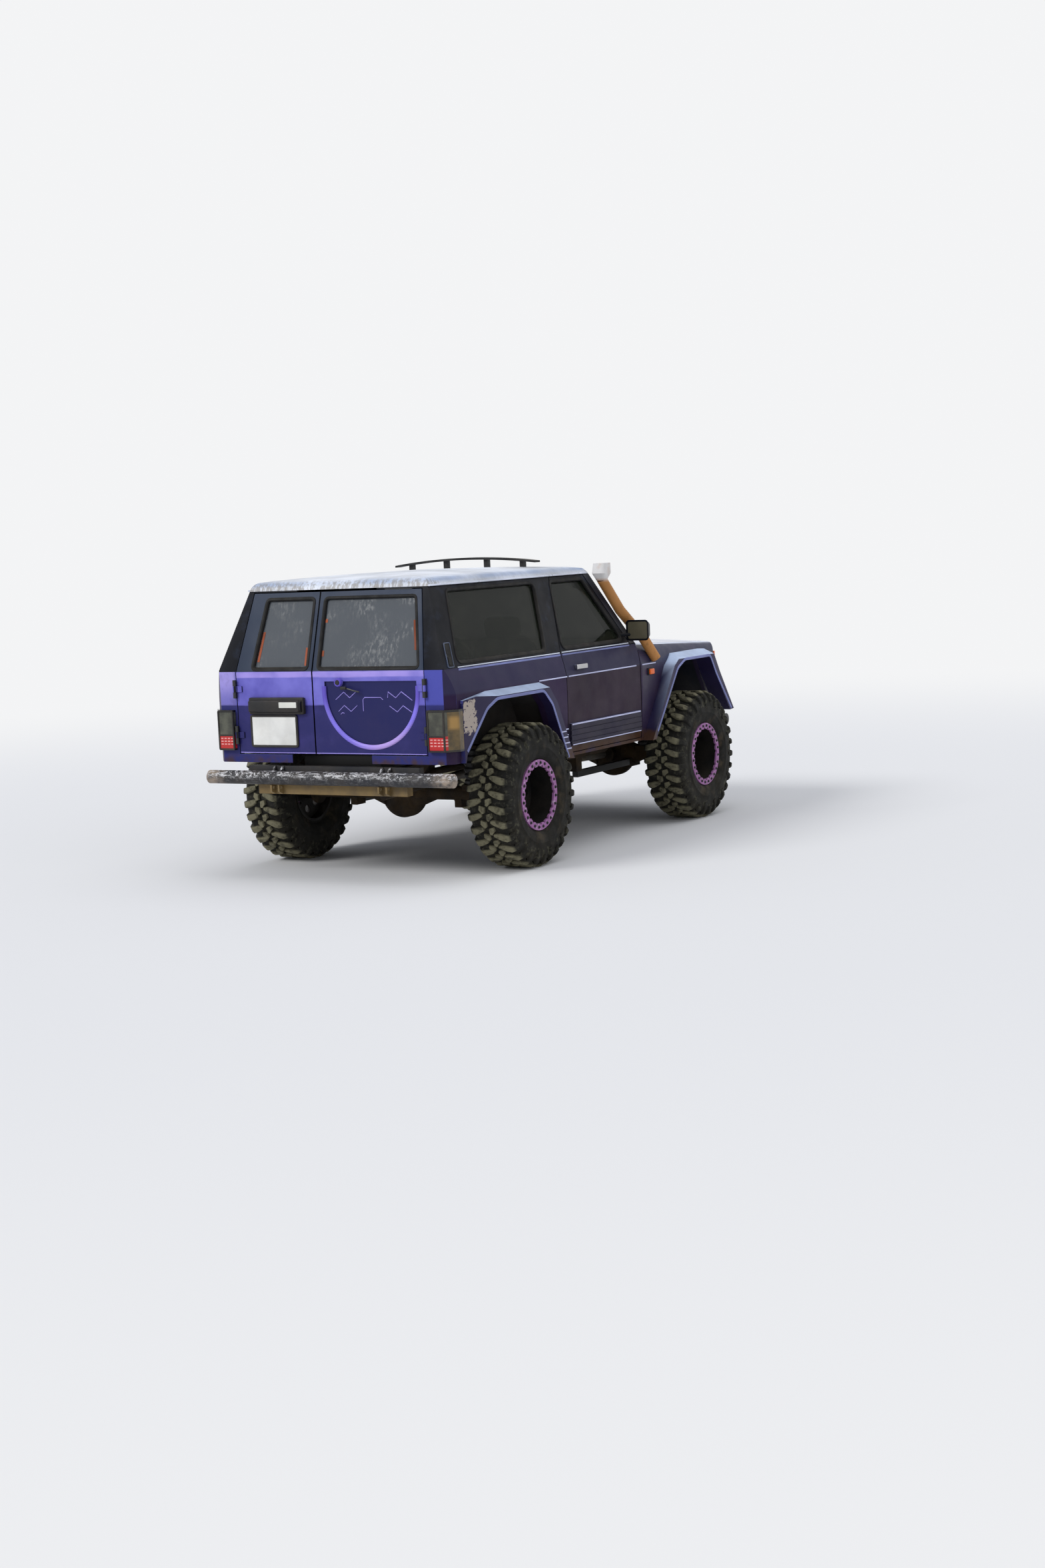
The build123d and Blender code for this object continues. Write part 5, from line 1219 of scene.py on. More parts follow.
class RingRepeat:
    """Copies a shape round an axle with Geometry Nodes, as one plain mesh."""

    @staticmethod
    def tree() -> bpy.types.NodeTree:
        """The node tree with Count, Phase and Material as inputs.

        Returns:
            The tree, built once.
        """
        known = bpy.data.node_groups.get("ring_repeat")
        if known:
            return known
        inputs = [("Geometry", GEOMETRY_SOCKET, None), ("Count", "NodeSocketInt", None),
                  ("Phase", VALUE_SOCKET, None), ("Material", "NodeSocketMaterial", None)]
        make, source, target = Nodes.group("ring_repeat", "GeometryNodeTree", inputs,
                                           [("Geometry", GEOMETRY_SOCKET)])
        points = make.node("GeometryNodePoints", {"Count": source["Count"]}).outputs[0]
        share = make.math("DIVIDE", make.node("GeometryNodeInputIndex").outputs[0], source["Count"])
        whole_turn = {0: share, 1: 2 * math.pi, 2: source["Phase"]}
        angle = make.node("ShaderNodeMath", whole_turn, operation="MULTIPLY_ADD").outputs[0]
        turn = make.node("ShaderNodeCombineXYZ", {"X": angle}).outputs[0]
        rotation = make.node("FunctionNodeEulerToRotation", {0: turn}).outputs[0]
        copies = {"Points": points, "Instance": source["Geometry"], "Rotation": rotation}
        instances = make.node("GeometryNodeInstanceOnPoints", copies).outputs[0]
        real = make.node("GeometryNodeRealizeInstances", {0: instances}).outputs[0]
        painted = make.node("GeometryNodeSetMaterial", {"Geometry": real, "Material": source["Material"]})
        make.tree.links.new(painted.outputs[0], target.inputs[0])
        return make.tree

    @classmethod
    def make(cls, shape: bmesh.types.BMesh, count: int, phase: float, finish: Surface) -> bpy.types.Mesh:
        """A ring of copies round the X axis at the origin.

        Args:
            shape: one copy at its place on the +Z side, freed here.
            count: how many.
            phase: the first copy's turn in radians.
            finish: the copies' finish.

        Returns:
            The copies as one mesh.
        """
        bmesh.ops.recalc_face_normals(shape, faces=shape.faces)
        Builder.shade(shape, 40.0)
        data = bpy.data.meshes.new("one_copy")
        shape.to_mesh(data)
        shape.free()
        holder = new_object("one_copy", data)
        modifier = holder.modifiers.new("repeat", "NODES")
        modifier.node_group = cls.tree()
        values = {"Count": count, "Phase": phase, "Material": finish.build()}
        for item in modifier.node_group.interface.items_tree:
            if item.name in values:
                modifier[item.identifier] = values[item.name]
        graph = bpy.context.evaluated_depsgraph_get()
        graph.update()
        result = bpy.data.meshes.new_from_object(holder.evaluated_get(graph))
        holder.modifiers.clear()
        bpy.data.objects.remove(holder)
        return result


class CadDress:
    """Gives CAD nodes their finishes and soft shading."""

    @staticmethod
    def soften_tree(limit: float) -> bpy.types.NodeTree:
        """A tree that shades a node smooth up to an edge angle.

        Args:
            limit: the angle in degrees.

        Returns:
            The tree, built once.
        """
        known = bpy.data.node_groups.get("soft_shading")
        if known:
            return known
        inputs, outputs = [("Geometry", GEOMETRY_SOCKET, None)], [("Geometry", GEOMETRY_SOCKET)]
        make, source, target = Nodes.group("soft_shading", "GeometryNodeTree", inputs, outputs)
        seams = {"Geometry": source[0], "Distance": 0.00002}
        merge = make.node("GeometryNodeMergeByDistance", seams).outputs[0]
        angle = make.node("GeometryNodeInputMeshEdgeAngle").outputs["Unsigned Angle"]
        soft = make.node("FunctionNodeCompare", {0: angle, 1: math.radians(limit)}, data_type="FLOAT",
                         operation="LESS_THAN").outputs[0]
        faces = make.node("GeometryNodeSetShadeSmooth", {"Geometry": merge, "Shade Smooth": True},
                          domain="FACE")
        edges = make.node("GeometryNodeSetShadeSmooth", {"Geometry": faces.outputs[0], "Shade Smooth": soft},
                          domain="EDGE")
        make.tree.links.new(edges.outputs[0], target.inputs[0])
        return make.tree

    @classmethod
    def dress(cls, frame: dict, node: str, finish: Surface) -> None:
        """Assigns a finish to a node's slots and softens its shading.

        Args:
            node: the node's name.
            finish: its finish.
        """
        target = frame["nodes"][node]
        for slot in target.material_slots:
            slot.material = finish.build()
        modifier = target.modifiers.new("soft_shading", "NODES")
        modifier.node_group = cls.soften_tree(24)
        LOG.info("%s: %s", node, finish.name)


# Sub-assemblies
@dataclass
class Skin:
    """The body's surface, for placing trim on it."""

    sill: Flat = (0.868, 0.630)
    crease: Flat = (0.893, 1.155)
    belt: Flat = (0.848, BELT_HEIGHT)
    rail: Flat = (0.668, 1.812)
    rise: float = 0.512

    def side_x(self, z: float) -> float:
        """Half width of the cabin's side.

        Args:
            z: the height.

        Returns:
            The half width.
        """
        for low, high, bulge in ((self.sill, self.crease, 0.009), (self.crease, self.belt, 0.005),
                                 (self.belt, self.rail, 0.0)):
            if z <= high[1]:
                t = (z - low[1]) / (high[1] - low[1])
                return low[0] + (high[0] - low[0]) * t + bulge * 4 * t * (1 - t)
        return self.rail[0]

    def tail_y(self, z: float) -> float:
        """The rear doors' surface at a height."""
        return TAIL_SKIN - max(0.0, z - BELT_HEIGHT) * 0.150 / self.rise

    def screen_y(self, z: float) -> float:
        """The windscreen's surface at a height."""
        return REAR_AXLE - 1.662 + (z - BELT_HEIGHT) * 0.322 / self.rise


SKIN = Skin()


@dataclass
class WindowSeals:
    """Rubber round every window."""

    width: float = 0.020
    proud: float = 0.004
    glass_depth: float = 0.0135

    def ring(self, name: str, outline: Sequence[Flat], radius: float, lift: Callable[[Flat, float], Vector],
             body: str) -> None:
        """One seal.

        Args:
            name: the piece's name.
            outline: the window's corner points on its own plane.
            radius: its corners' radius.
            lift: places a plane point at a height over the skin.
            body: the body it rides on.
        """
        mesh = bmesh.new()
        edge = Builder.rounded(outline, radius, 6)
        centre = Vector((sum(p[0] for p in edge) / len(edge), sum(p[1] for p in edge) / len(edge)))
        rows = []
        for share, height in ((self.width * 0.55, 0.0005), (self.width * 0.45, self.proud),
                              (-self.width * 0.15, self.proud), (-self.width * 0.45, -0.002),
                              (-self.width * 0.55, -self.glass_depth)):
            row = []
            for index, point in enumerate(edge):
                before, after = Vector(edge[index - 1]), Vector(edge[(index + 1) % len(edge)])
                tangent = (after - before).normalized()
                outwards = Vector((tangent.y, -tangent.x))
                if outwards.dot(Vector(point) - centre) < 0:
                    outwards = -outwards
                moved = Vector(point) + outwards * share
                row.append(mesh.verts.new(lift((moved.x, moved.y), height)))
            rows.append(row)
        Builder.loft(mesh, rows, capped=False)
        made = Builder.finish(name, mesh, Finishes.RUBBER, body, "plastic", recalc=False)
        solid = made.modifiers.new("wall", "SOLIDIFY")
        solid.thickness = 0.0015
        solid.offset = -1

    def build(self) -> None:
        """Seals of the doors, quarters, rear doors and windscreen."""
        quarter = [(REAR_AXLE - 0.434, 1.336), (REAR_AXLE - 0.584, 1.772), (REAR_AXLE + 0.490, 1.772),
                   (REAR_AXLE + 0.640, 1.336)]
        door = [(REAR_AXLE - 0.652, 1.336), (REAR_AXLE - 0.790, 1.770), (REAR_AXLE - 1.226, 1.770),
                (REAR_AXLE - 1.506, 1.336)]
        for side in Side:
            def on_side(point: Flat, height: float, sign: int = side.value) -> Vector:
                """A point over the side's skin."""
                return Vector((sign * (SKIN.side_x(point[1]) + height), point[0], point[1]))

            self.ring(f"quarter_seal_{side.word}", quarter, 0.045, on_side, "body")
            self.ring(f"door_seal_{side.word}", door, 0.040, on_side, f"front_door_{side.word}")

        def on_tail(point: Flat, height: float) -> Vector:
            """A point over the tail's skin."""
            return Vector((point[0], SKIN.tail_y(point[1]) + height, point[1]))

        left = [(0.158, 1.320), (0.582, 1.320), (0.520, 1.750), (0.158, 1.750)]
        right = [(0.076, 1.320), (-0.664, 1.320), (-0.592, 1.750), (0.076, 1.750)]
        self.ring("rear_seal_left", left, 0.026, on_tail, "rear_door_left")
        self.ring("rear_seal_right", right, 0.026, on_tail, "rear_door_right")

        def on_screen(point: Flat, height: float) -> Vector:
            """A point over the windscreen's frame."""
            return Vector((point[0], SKIN.screen_y(point[1]) - height, point[1]))

        self.ring("windscreen_seal", [(-0.690, 1.348), (0.690, 1.348), (0.560, 1.757), (-0.560, 1.757)],
                  0.050, on_screen, "body")


@dataclass(frozen=True)
class Strip:
    """A straight strip along the side, its ends measured from the rear axle."""

    name: str
    start: float
    end: float
    z: float
    width: float
    proud: float
    finish: Finish
    door: bool = False
    face_x: Optional[float] = None


@dataclass
class SideTrim:
    """Crease lines, lower stripes, handles, indicators, drip rails and vents."""

    crease_z: float = 1.155
    lip: float = 0.020
    front_arch: tuple[Flat, ...] = ((-0.540, 0.735), (-0.301, 1.015), (-0.215, 1.144), (0.190, 1.144),
                                    (0.304, 1.094), (0.648, 0.679))
    rear_arch: tuple[Flat, ...] = ((-0.462, 0.640), (-0.280, 0.999), (-0.180, 1.089), (0.385, 1.089),
                                   (0.486, 1.037), (0.690, 0.796))
    moulding_rows: tuple[Flat, ...] = ((0.706, 0.006), (0.839, 0.009))
    moulding_x: float = 0.900
    flare_x: float = 0.955
    indicator_x: float = 0.892
    indicator_y: float = REAR_AXLE - 1.789
    vent_plates: tuple[tuple[float, ...], ...] = (
        (1.318, 1.458, 0.700, 0.756, 0.004), (1.330, 1.376, 0.712, 0.746, 0.009),
        (1.396, 1.444, 0.706, 0.738, 0.009))

    def strips(self) -> list[Strip]:
        """Every strip of one side.

        Returns:
            The strips in order.
        """
        pale, bright, lip = Finishes.PINLINE, Finishes.BRIGHT, Finishes.LIP
        # The crease lines are pale lines along the crease: partly a pinstripe, partly a painted highlight on
        # its edge.
        made = [Strip("crease_line_rear", -0.598, -0.236, self.crease_z, 0.008, 0.0022, pale),
                Strip("crease_line_door", -1.574, -0.620, self.crease_z, 0.008, 0.0022, pale, True),
                Strip("belt_line_rear", -0.596, 0.655, 1.310, 0.007, 0.003, bright),
                Strip("belt_line_door", -1.560, -0.625, 1.312, 0.007, 0.003, bright, True),
                Strip("crease_line_wing", -1.866, -1.664, self.crease_z, 0.008, 0.0022, pale)]
        for row, (z, width) in enumerate(self.moulding_rows):
            made.append(Strip(f"door_stripe_{row}", -1.596, -0.628, z, width, 0.0022, pale, True,
                              self.moulding_x))
        for row in range(4):
            z = 0.700 + row * 0.038
            lean = (z - 0.63) * 0.5
            made += [Strip(f"quarter_stripe_{row}", -0.600, -0.520, z, 0.008, 0.003, pale),
                     Strip(f"flare_stripe_{row}", lean - 0.540, lean - 0.476, z, 0.008, 0.003, pale, False,
                           self.flare_x)]
        # The shoulder bands are pale lines under the windows: painted highlight.
        return made + [Strip("shoulder_band_rear", -0.596, 0.655, 1.294, 0.016, 0.0015, lip),
                       Strip("shoulder_band_door", -1.560, -0.625, 1.295, 0.012, 0.0015, lip, True)]

    def line(self, strip: Strip, side: Side) -> None:
        """One strip on one side.

        Args:
            strip: its place, size and finish.
            side: the side that it lies on.
        """
        x = side.value * (strip.face_x or SKIN.side_x(strip.z))
        run = strip.end - strip.start
        path = [Vector((x, REAR_AXLE + strip.start + run * (step / 12), strip.z)) for step in range(13)]
        foot, top, high = strip.width / 2, strip.width * 0.25, strip.proud
        profile = [(-foot, -0.002), (foot, -0.002), (foot, high * 0.6), (top, high), (-top, high),
                   (-foot, high * 0.6)]
        body = f"front_door_{side.word}" if strip.door else "body"
        Builder.swept(f"{strip.name}_{side.word}", path, profile, (side.value, 0, 0), strip.finish, body,
                      "paint")

    def build(self) -> None:
        """All the side trim of both sides."""
        for side in Side:
            for strip in self.strips():
                self.line(strip, side)
            self.lips(side)
            self.handle(side)
            self.indicator(side)
            self.drip_rail(side)
            self.vent(side)
            self.mirror_glass(side)

    def lips(self, side: Side) -> None:
        """Lavender lines along the front and rear flares' edges: painted sky reflection, with chips.

        Args:
            side: the side that they lie on.
        """
        profile = [(0.001, -0.001), (self.lip, -0.001), (self.lip - 0.002, 0.002), (0.004, 0.0025),
                   (0.001, 0.001)]
        for name, axle, outline in (("front", FRONT_AXLE, self.front_arch),
                                    ("rear", REAR_AXLE, self.rear_arch)):
            path = []
            for y, z in Builder.bent([(axle + y, z) for y, z in outline], 0.020, 2):
                tail = max(0.0, y - REAR_AXLE - 0.380) / 0.430 * 0.055
                path.append(Vector((side.value * (self.flare_x - tail), y, z)))
            if side is Side.LEFT:
                path.reverse()
            Builder.swept(f"{name}_flare_lip_{side.word}", path, profile, (side.value, 0, 0), Finishes.LIP,
                          "body", "paint")

    def handle(self, side: Side) -> None:
        """The front door's pull handle on its two feet.

        Args:
            side: the side that it lies on.
        """
        sign, x, y = side.value, SKIN.side_x(1.21), REAR_AXLE
        parts = [((sign * (x + 0.016), y - 0.856, 1.193), (sign * (x + 0.030), y - 0.714, 1.225), 0.006, 3)]
        for foot in (y - 0.852, y - 0.730):
            parts.append(((sign * (x - 0.004), foot, 1.196), (sign * (x + 0.022), foot + 0.012, 1.222),
                          0.003))
        Builder.blocks(f"door_handle_{side.word}", parts, Finishes.CHROME, f"front_door_{side.word}",
                       "plastic")

    def indicator(self, side: Side) -> None:
        """The side indicator behind the front flare.

        Args:
            side: the side that it lies on.
        """
        sign, x, y = side.value, self.indicator_x, self.indicator_y
        base = ((sign * (x - 0.016), y - 0.040, 1.074), (sign * (x + 0.006), y + 0.040, 1.124), 0.006)
        lens = ((sign * x, y - 0.033, 1.080), (sign * (x + 0.016), y + 0.033, 1.118), 0.007, 3)
        Builder.blocks(f"indicator_base_{side.word}", [base], Finishes.PLASTIC, "body", "plastic")
        Builder.blocks(f"indicator_lens_{side.word}", [lens], Finishes.AMBER, "body", "lamp")

    def drip_rail(self, side: Side) -> None:
        """The bright rolled edge under the roof.

        Args:
            side: the side that it lies on.
        """
        path = [Vector((side.value * 0.6795, REAR_AXLE + y, 1.809)) for y in (-1.30, -0.6, 0.1, 0.672)]
        Builder.swept(f"drip_rail_{side.word}", path, Builder.round_profile(0.012, 0.011), (side.value, 0, 0),
                      Finishes.BRIGHT, "body", "roof_paint")

    def vent(self, side: Side) -> None:
        """The slotted black vent on the rear pillar, in a frame painted pale slate as a highlight.

        Args:
            side: the side that it lies on.
        """
        sign = side.value
        mesh = bmesh.new()
        for low, high, front, back, thick in self.vent_plates:
            rings = []
            for z, lean in ((low, 0.0), (high, -(high - low) * 0.27)):
                x = SKIN.side_x(z)
                rings.append([mesh.verts.new((sign * (x + rise), REAR_AXLE + y + lean, z)) for y, rise in
                              ((front, -0.004), (front, thick), (back, thick), (back, -0.004))])
            Builder.loft(mesh, rings)
        Builder.finish(f"pillar_vent_{side.word}", mesh, Finishes.RUBBER, "body", "plastic")
        corners = Builder.rounded([(0.697, 1.316), (0.759, 1.316), (0.721, 1.460), (0.659, 1.460)], 0.006, 2)
        path = [Vector((sign * (SKIN.side_x(z) + 0.004), REAR_AXLE + y, z)) for y, z in corners]
        Builder.swept(f"vent_frame_{side.word}", path, Builder.taper(0.003, -0.004, 0.002, 0.002),
                      (sign, 0, 0), Finishes.SLATE_EDGE, "body", "dark_paint", closed=True)

    def mirror_glass(self, side: Side) -> None:
        """The mirror's pane, facing the tail.

        Args:
            side: the side that it lies on.
        """
        mesh = bmesh.new()
        outline = Builder.frame((0.935, REAR_AXLE - 1.536, 1.400), (0.148, 0.118), 0.018)
        front, back = ([mesh.verts.new((side.value * point.x, point.y + depth, point.z)) for point in outline]
                       for depth in (0.003, -0.001))
        Builder.loft(mesh, [back, front])
        Builder.finish(f"mirror_glass_{side.word}", mesh, Finishes.MIRROR, f"front_door_{side.word}",
                       "plastic")


@dataclass
class RearDoors:
    """Fittings of the two unequal rear doors."""

    recess_x: float = -0.312
    recess_half: float = 0.338
    recess_floor: float = 0.009
    arc_z: float = 1.180
    top_z: float = 1.243
    foot_z: float = 0.7975
    glass_depth: float = 0.0128
    tape_width: float = 0.017
    rib_width: float = 0.0048
    lock_place: Flat = (-0.088, 1.237)
    up: Point = (0, 1, 0)
    zigzags: tuple[tuple[Flat, ...], ...] = (
        ((-0.047, 1.129), (-0.109, 1.176), (-0.152, 1.141), (-0.200, 1.178)),
        ((-0.065, 1.057), (-0.109, 1.094), (-0.158, 1.057), (-0.206, 1.094)),
        ((-0.432, 1.140), (-0.437, 1.176), (-0.491, 1.140), (-0.533, 1.177), (-0.610, 1.124)),
        ((-0.443, 1.090), (-0.498, 1.054), (-0.542, 1.092), (-0.604, 1.052)),
        ((-0.080, 1.040), (-0.094, 1.050), (-0.106, 1.045)))
    bracket: tuple[Flat, ...] = ((-0.250, 1.059), (-0.250, 1.130), (-0.262, 1.142), (-0.381, 1.142),
                                 (-0.397, 1.128))
    tapes: tuple[tuple[str, tuple[tuple[float, ...], ...]], ...] = (
        ("right", ((-0.634, 1.425, -0.604, 1.605), (0.050, 1.395, 0.050, 1.430),
                   (0.048, 1.600, 0.048, 1.622))),
        ("left", ((0.540, 1.365, 0.516, 1.550), (0.172, 1.340, 0.174, 1.450))))

    def build(self) -> None:
        """Recess rim, pressed ribs, lock, plate, plate lamp, tape and foot line."""
        self.arc()
        self.ribs()
        self.lock()
        self.plate()
        self.tape()
        self.foot()

    def foot(self) -> None:
        """A pale line along the doors' lower fold: painted highlight on the edge."""
        for word, start, end in (("left", 0.700, 0.122), ("right", 0.112, -0.700)):
            path = [Vector((start + (end - start) * t / 12, TAIL_SKIN, self.foot_z)) for t in range(13)]
            Builder.swept(f"rear_foot_line_{word}", path, Builder.taper(0.003, -0.001, 0.002, 0.0018),
                          self.up, Finishes.RIB, f"rear_door_{word}", "paint")

    def arc(self) -> None:
        """The raised U-shaped rim round the recess."""
        radius, top = self.recess_half + 0.006, self.top_z - 0.03
        path = [Vector((self.recess_x + radius, TAIL_SKIN, top))]
        for step in range(49):
            angle = math.pi * step / 48
            path.append(Vector((self.recess_x + radius * math.cos(angle), TAIL_SKIN,
                                self.arc_z - radius * math.sin(angle))))
        path.append(Vector((self.recess_x - radius, TAIL_SKIN, top)))
        profile = [(-0.016, -0.003), (0.016, -0.003), (0.014, 0.002), (0.006, 0.006), (-0.006, 0.006),
                   (-0.014, 0.002)]
        Builder.swept("recess_arc", path, profile, self.up, Finishes.ARC, "rear_door_right", "paint",
                      smooth=60)

    def ribs(self) -> None:
        """Zig-zag ribs and a bracket rib on the recess's floor."""
        mesh = bmesh.new()
        profile = Builder.taper(self.rib_width / 2, -0.001, self.rib_width * 0.3, 0.003)
        for points in (*self.zigzags, self.bracket):
            path = [Vector((x, TAIL_SKIN - self.recess_floor, z)) for x, z in points]
            Builder.sweep(mesh, path, profile, self.up)
        Builder.finish("recess_ribs", mesh, Finishes.RIB, "rear_door_right", "paint")

    def lock(self) -> None:
        """The round lock in its ring, with its lever."""
        (x, z), y, body = self.lock_place, TAIL_SKIN, "rear_door_right"
        mesh = bmesh.new()
        Builder.disc(mesh, (x, y + 0.012, z), (x, y + 0.026, z), 0.028, 0.024)
        Builder.finish("rear_lock_ring", mesh, Finishes.ARC, body, "paint")
        mesh = bmesh.new()
        Builder.disc(mesh, (x, y + 0.024, z), (x, y + 0.031, z), 0.017, 0.014)
        Builder.box(mesh, (x - 0.062, y + 0.016, z - 0.044), (x - 0.020, y + 0.030, z - 0.026), 0.004)
        Builder.finish("rear_lock", mesh, Finishes.PLASTIC, body, "black_steel")
        path = [Vector((x + across, y + proud, z + rise)) for across, proud, rise in
                ((-0.030, 0.014, -0.030), (-0.120, 0.020, -0.052), (-0.150, 0.012, -0.060))]
        Builder.swept("rear_lever", path, Builder.round_profile(0.010, 0.010, 8), self.up,
                      Finishes.BLACK_STEEL, body, "black_steel")

    def plate(self) -> None:
        """The blank plate in its holder and the plate lamp's lens and housing."""
        y, body = TAIL_SKIN, "rear_door_left"
        plate = ((0.258, y + 0.0045, 0.846), (0.592, y + 0.0085, 1.022), 0.0015, 2)
        Builder.blocks("blank_plate", [plate], Finishes.PLATE, body, "paint")
        Builder.swept("plate_holder", Builder.frame((0.425, y + 0.006, 0.934), (0.350, 0.192), 0.012, 3),
                      Builder.taper(0.007, -0.005, 0.006, 0.004), self.up, Finishes.PLASTIC, body, "plastic",
                      closed=True)
        lens = ((0.215, y + 0.028, 1.082), (0.350, y + 0.051, 1.118), 0.005, 3)
        Builder.blocks("plate_lamp_lens", [lens], Finishes.PALE_LENS, body, "clear_lamp")
        housing = [((0.178, y - 0.003, 1.040), (0.598, y + 0.030, 1.146), 0.012, 3),
                   ((0.200, y + 0.016, 1.056), (0.592, y + 0.048, 1.128), 0.012, 3)]
        Builder.blocks("plate_lamp_housing", housing, Finishes.PLASTIC, body, "plastic")

    def tape(self) -> None:
        """Strips of orange tape by the rear windows' edges."""
        edges = (0, 0), (self.tape_width, 0), (self.tape_width, -0.001), (0, -0.001)
        for word, strips in self.tapes:
            mesh = bmesh.new()
            for start_x, start_z, end_x, end_z in strips:
                rings = []
                for x, z in ((start_x, start_z), (end_x, end_z)):
                    y = SKIN.tail_y(z) - self.glass_depth
                    rings.append([mesh.verts.new((x + across, y + depth, z)) for across, depth in edges])
                Builder.loft(mesh, rings)
            Builder.finish(f"rear_tape_{word}", mesh, Finishes.ORANGE, f"rear_door_{word}", "lamp")


@dataclass
class Wheels:
    """Tyres with their lugs, and the bolts of the clamping rings."""

    radius: float = AXLE_HEIGHT
    lugs: int = 30
    shoulder_r: float = 0.43
    widest: float = 0.156
    sidewall: tuple[Flat, ...] = ((0.1165, 0.2100), (0.1185, 0.2240), (0.1300, 0.2320), (0.1440, 0.2520),
                                  (0.1500, 0.2800), (0.1515, 0.2960), (0.1535, 0.2990), (0.1535, 0.3060),
                                  (0.1515, 0.3090), (0.1510, 0.3400), (0.1480, 0.3700), (0.1400, 0.4000),
                                  (0.1280, 0.4180), (0.1050, 0.4330), (0.0500, 0.4350), (0.0, 0.4352))

    def shoulder_lug(self, reach: float, width: float) -> bmesh.types.BMesh:
        """A bar from near the centre over the shoulder and down the sidewall.

        Args:
            reach: the radius at which it ends on the sidewall.
            width: its width at the shoulder.

        Returns:
            The lug on the +X half, at the top of the tyre.
        """
        stations = [(0.030, 0.4555, 0.026, -0.020), (0.052, 0.4565, 0.040, -0.013),
                    (0.080, 0.457, width, -0.004), (0.108, 0.457, width, 0.004),
                    (0.132, 0.441, width, 0.006), (0.148, 0.4225, width * 0.94, 0.006),
                    (0.1555, 0.395, width * 0.86, 0.006), (0.1560, reach, width * 0.72, 0.006)]
        mesh = bmesh.new()
        rings = []
        for index, (x, r, wide, shift) in enumerate(stations):
            flank = r < self.shoulder_r
            push = {0: -0.001, len(stations) - 1: 0.002}.get(index, 0.0)
            half = wide / 2
            foot = (half + 0.004, x - 0.026, r) if flank else (half + 0.004, x * 0.96, r - 0.030)
            edge = (half - 0.0035, x - 0.003 if flank else x, r - 0.0035)
            row = []
            for sign, points in ((-1, (foot, edge, (half - 0.008, x, r))),
                                 (1, ((half - 0.008, x, r), edge, foot))):
                for along, place_x, place_r in points:
                    angle = (shift + sign * along) / self.radius
                    row.append(mesh.verts.new((min(place_x + push, self.widest), math.sin(angle) * place_r,
                                               math.cos(angle) * place_r)))
            rings.append(row)
        Builder.loft(mesh, rings)
        return mesh

    def centre_lug(self) -> bmesh.types.BMesh:
        """A slanted block beside the tread's centre line.

        Returns:
            The block on the +X half, at the top of the tyre.
        """
        outline = [(0.005, -0.020), (0.040, -0.030), (0.046, -0.004), (0.018, 0.018), (0.004, 0.012)]
        mesh = bmesh.new()
        rings = []
        for r, grow in ((0.428, 0.003), (0.4535, 0.0), (self.radius, -0.003)):
            row = []
            for x, s in outline:
                angle = (s + math.copysign(grow, s)) / self.radius
                row.append(mesh.verts.new((x + (grow if x > 0.02 else -grow), math.sin(angle) * r,
                                           math.cos(angle) * r)))
            rings.append(row)
        Builder.loft(mesh, rings)
        return mesh

    def carcass(self) -> bmesh.types.BMesh:
        """The tyre's body with a bead bulge and raised sidewall rings.

        Returns:
            The body round the X axis at the origin.
        """
        full = [*self.sidewall, *((-x, r) for x, r in self.sidewall[-2::-1])]
        mesh = bmesh.new()
        steps = 96
        rings = []
        for step in range(steps):
            angle = 2 * math.pi * step / steps
            rings.append([mesh.verts.new((x, r * math.sin(angle), r * math.cos(angle))) for x, r in full])
        Builder.loft(mesh, rings, closed=True)
        return mesh

    def tyre_mesh(self, finish: Finish) -> bmesh.types.BMesh:
        """A whole tyre at the origin, outer side towards +X.

        Args:
            finish: the lugs' finish.

        Returns:
            The tyre.
        """
        whole = self.carcass()
        for face in whole.faces:
            face.smooth = True
        bmesh.ops.recalc_face_normals(whole, faces=whole.faces)
        step = 2 * math.pi / self.lugs
        for half in (1, -1):
            shift = 0.0 if half > 0 else step / 2
            for shape, count, phase in ((self.shoulder_lug(0.352, 0.050), self.lugs // 2, 0.0),
                                        (self.shoulder_lug(0.384, 0.046), self.lugs // 2, step),
                                        (self.centre_lug(), self.lugs, step * 0.5)):
                ring = RingRepeat.make(shape, count, phase + shift, finish)
                if half < 0:
                    ring.transform(Matrix.Diagonal((-1, 1, 1, 1)))
                    ring.flip_normals()
                whole.from_mesh(ring)
                bpy.data.meshes.remove(ring)
        return whole

    def bolt_mesh(self) -> bmesh.types.BMesh:
        """One clamping bolt with its washer on the ring, at the wheel's top.

        Returns:
            The bolt.
        """
        mesh = bmesh.new()
        x, r = 0.134, 0.2035
        Builder.disc(mesh, (x - 0.002, 0, r), (x + 0.0015, 0, r), 0.0105, sides=14)
        Builder.disc(mesh, (x, 0, r), (x + 0.008, 0, r), 0.0075, 0.0070, sides=6)
        return mesh

    def add_hub(self, mesh: bmesh.types.BMesh) -> None:
        """The hub's stepped cap on the dish.

        Args:
            mesh: where the cap is added.
        """
        for start, end, radius, tip in ((-0.042, -0.012, 0.056, 0.050), (-0.014, 0.012, 0.040, 0.034),
                                        (0.010, 0.018, 0.022, 0.018)):
            Builder.disc(mesh, (start, 0, 0), (end, 0, 0), radius, tip)

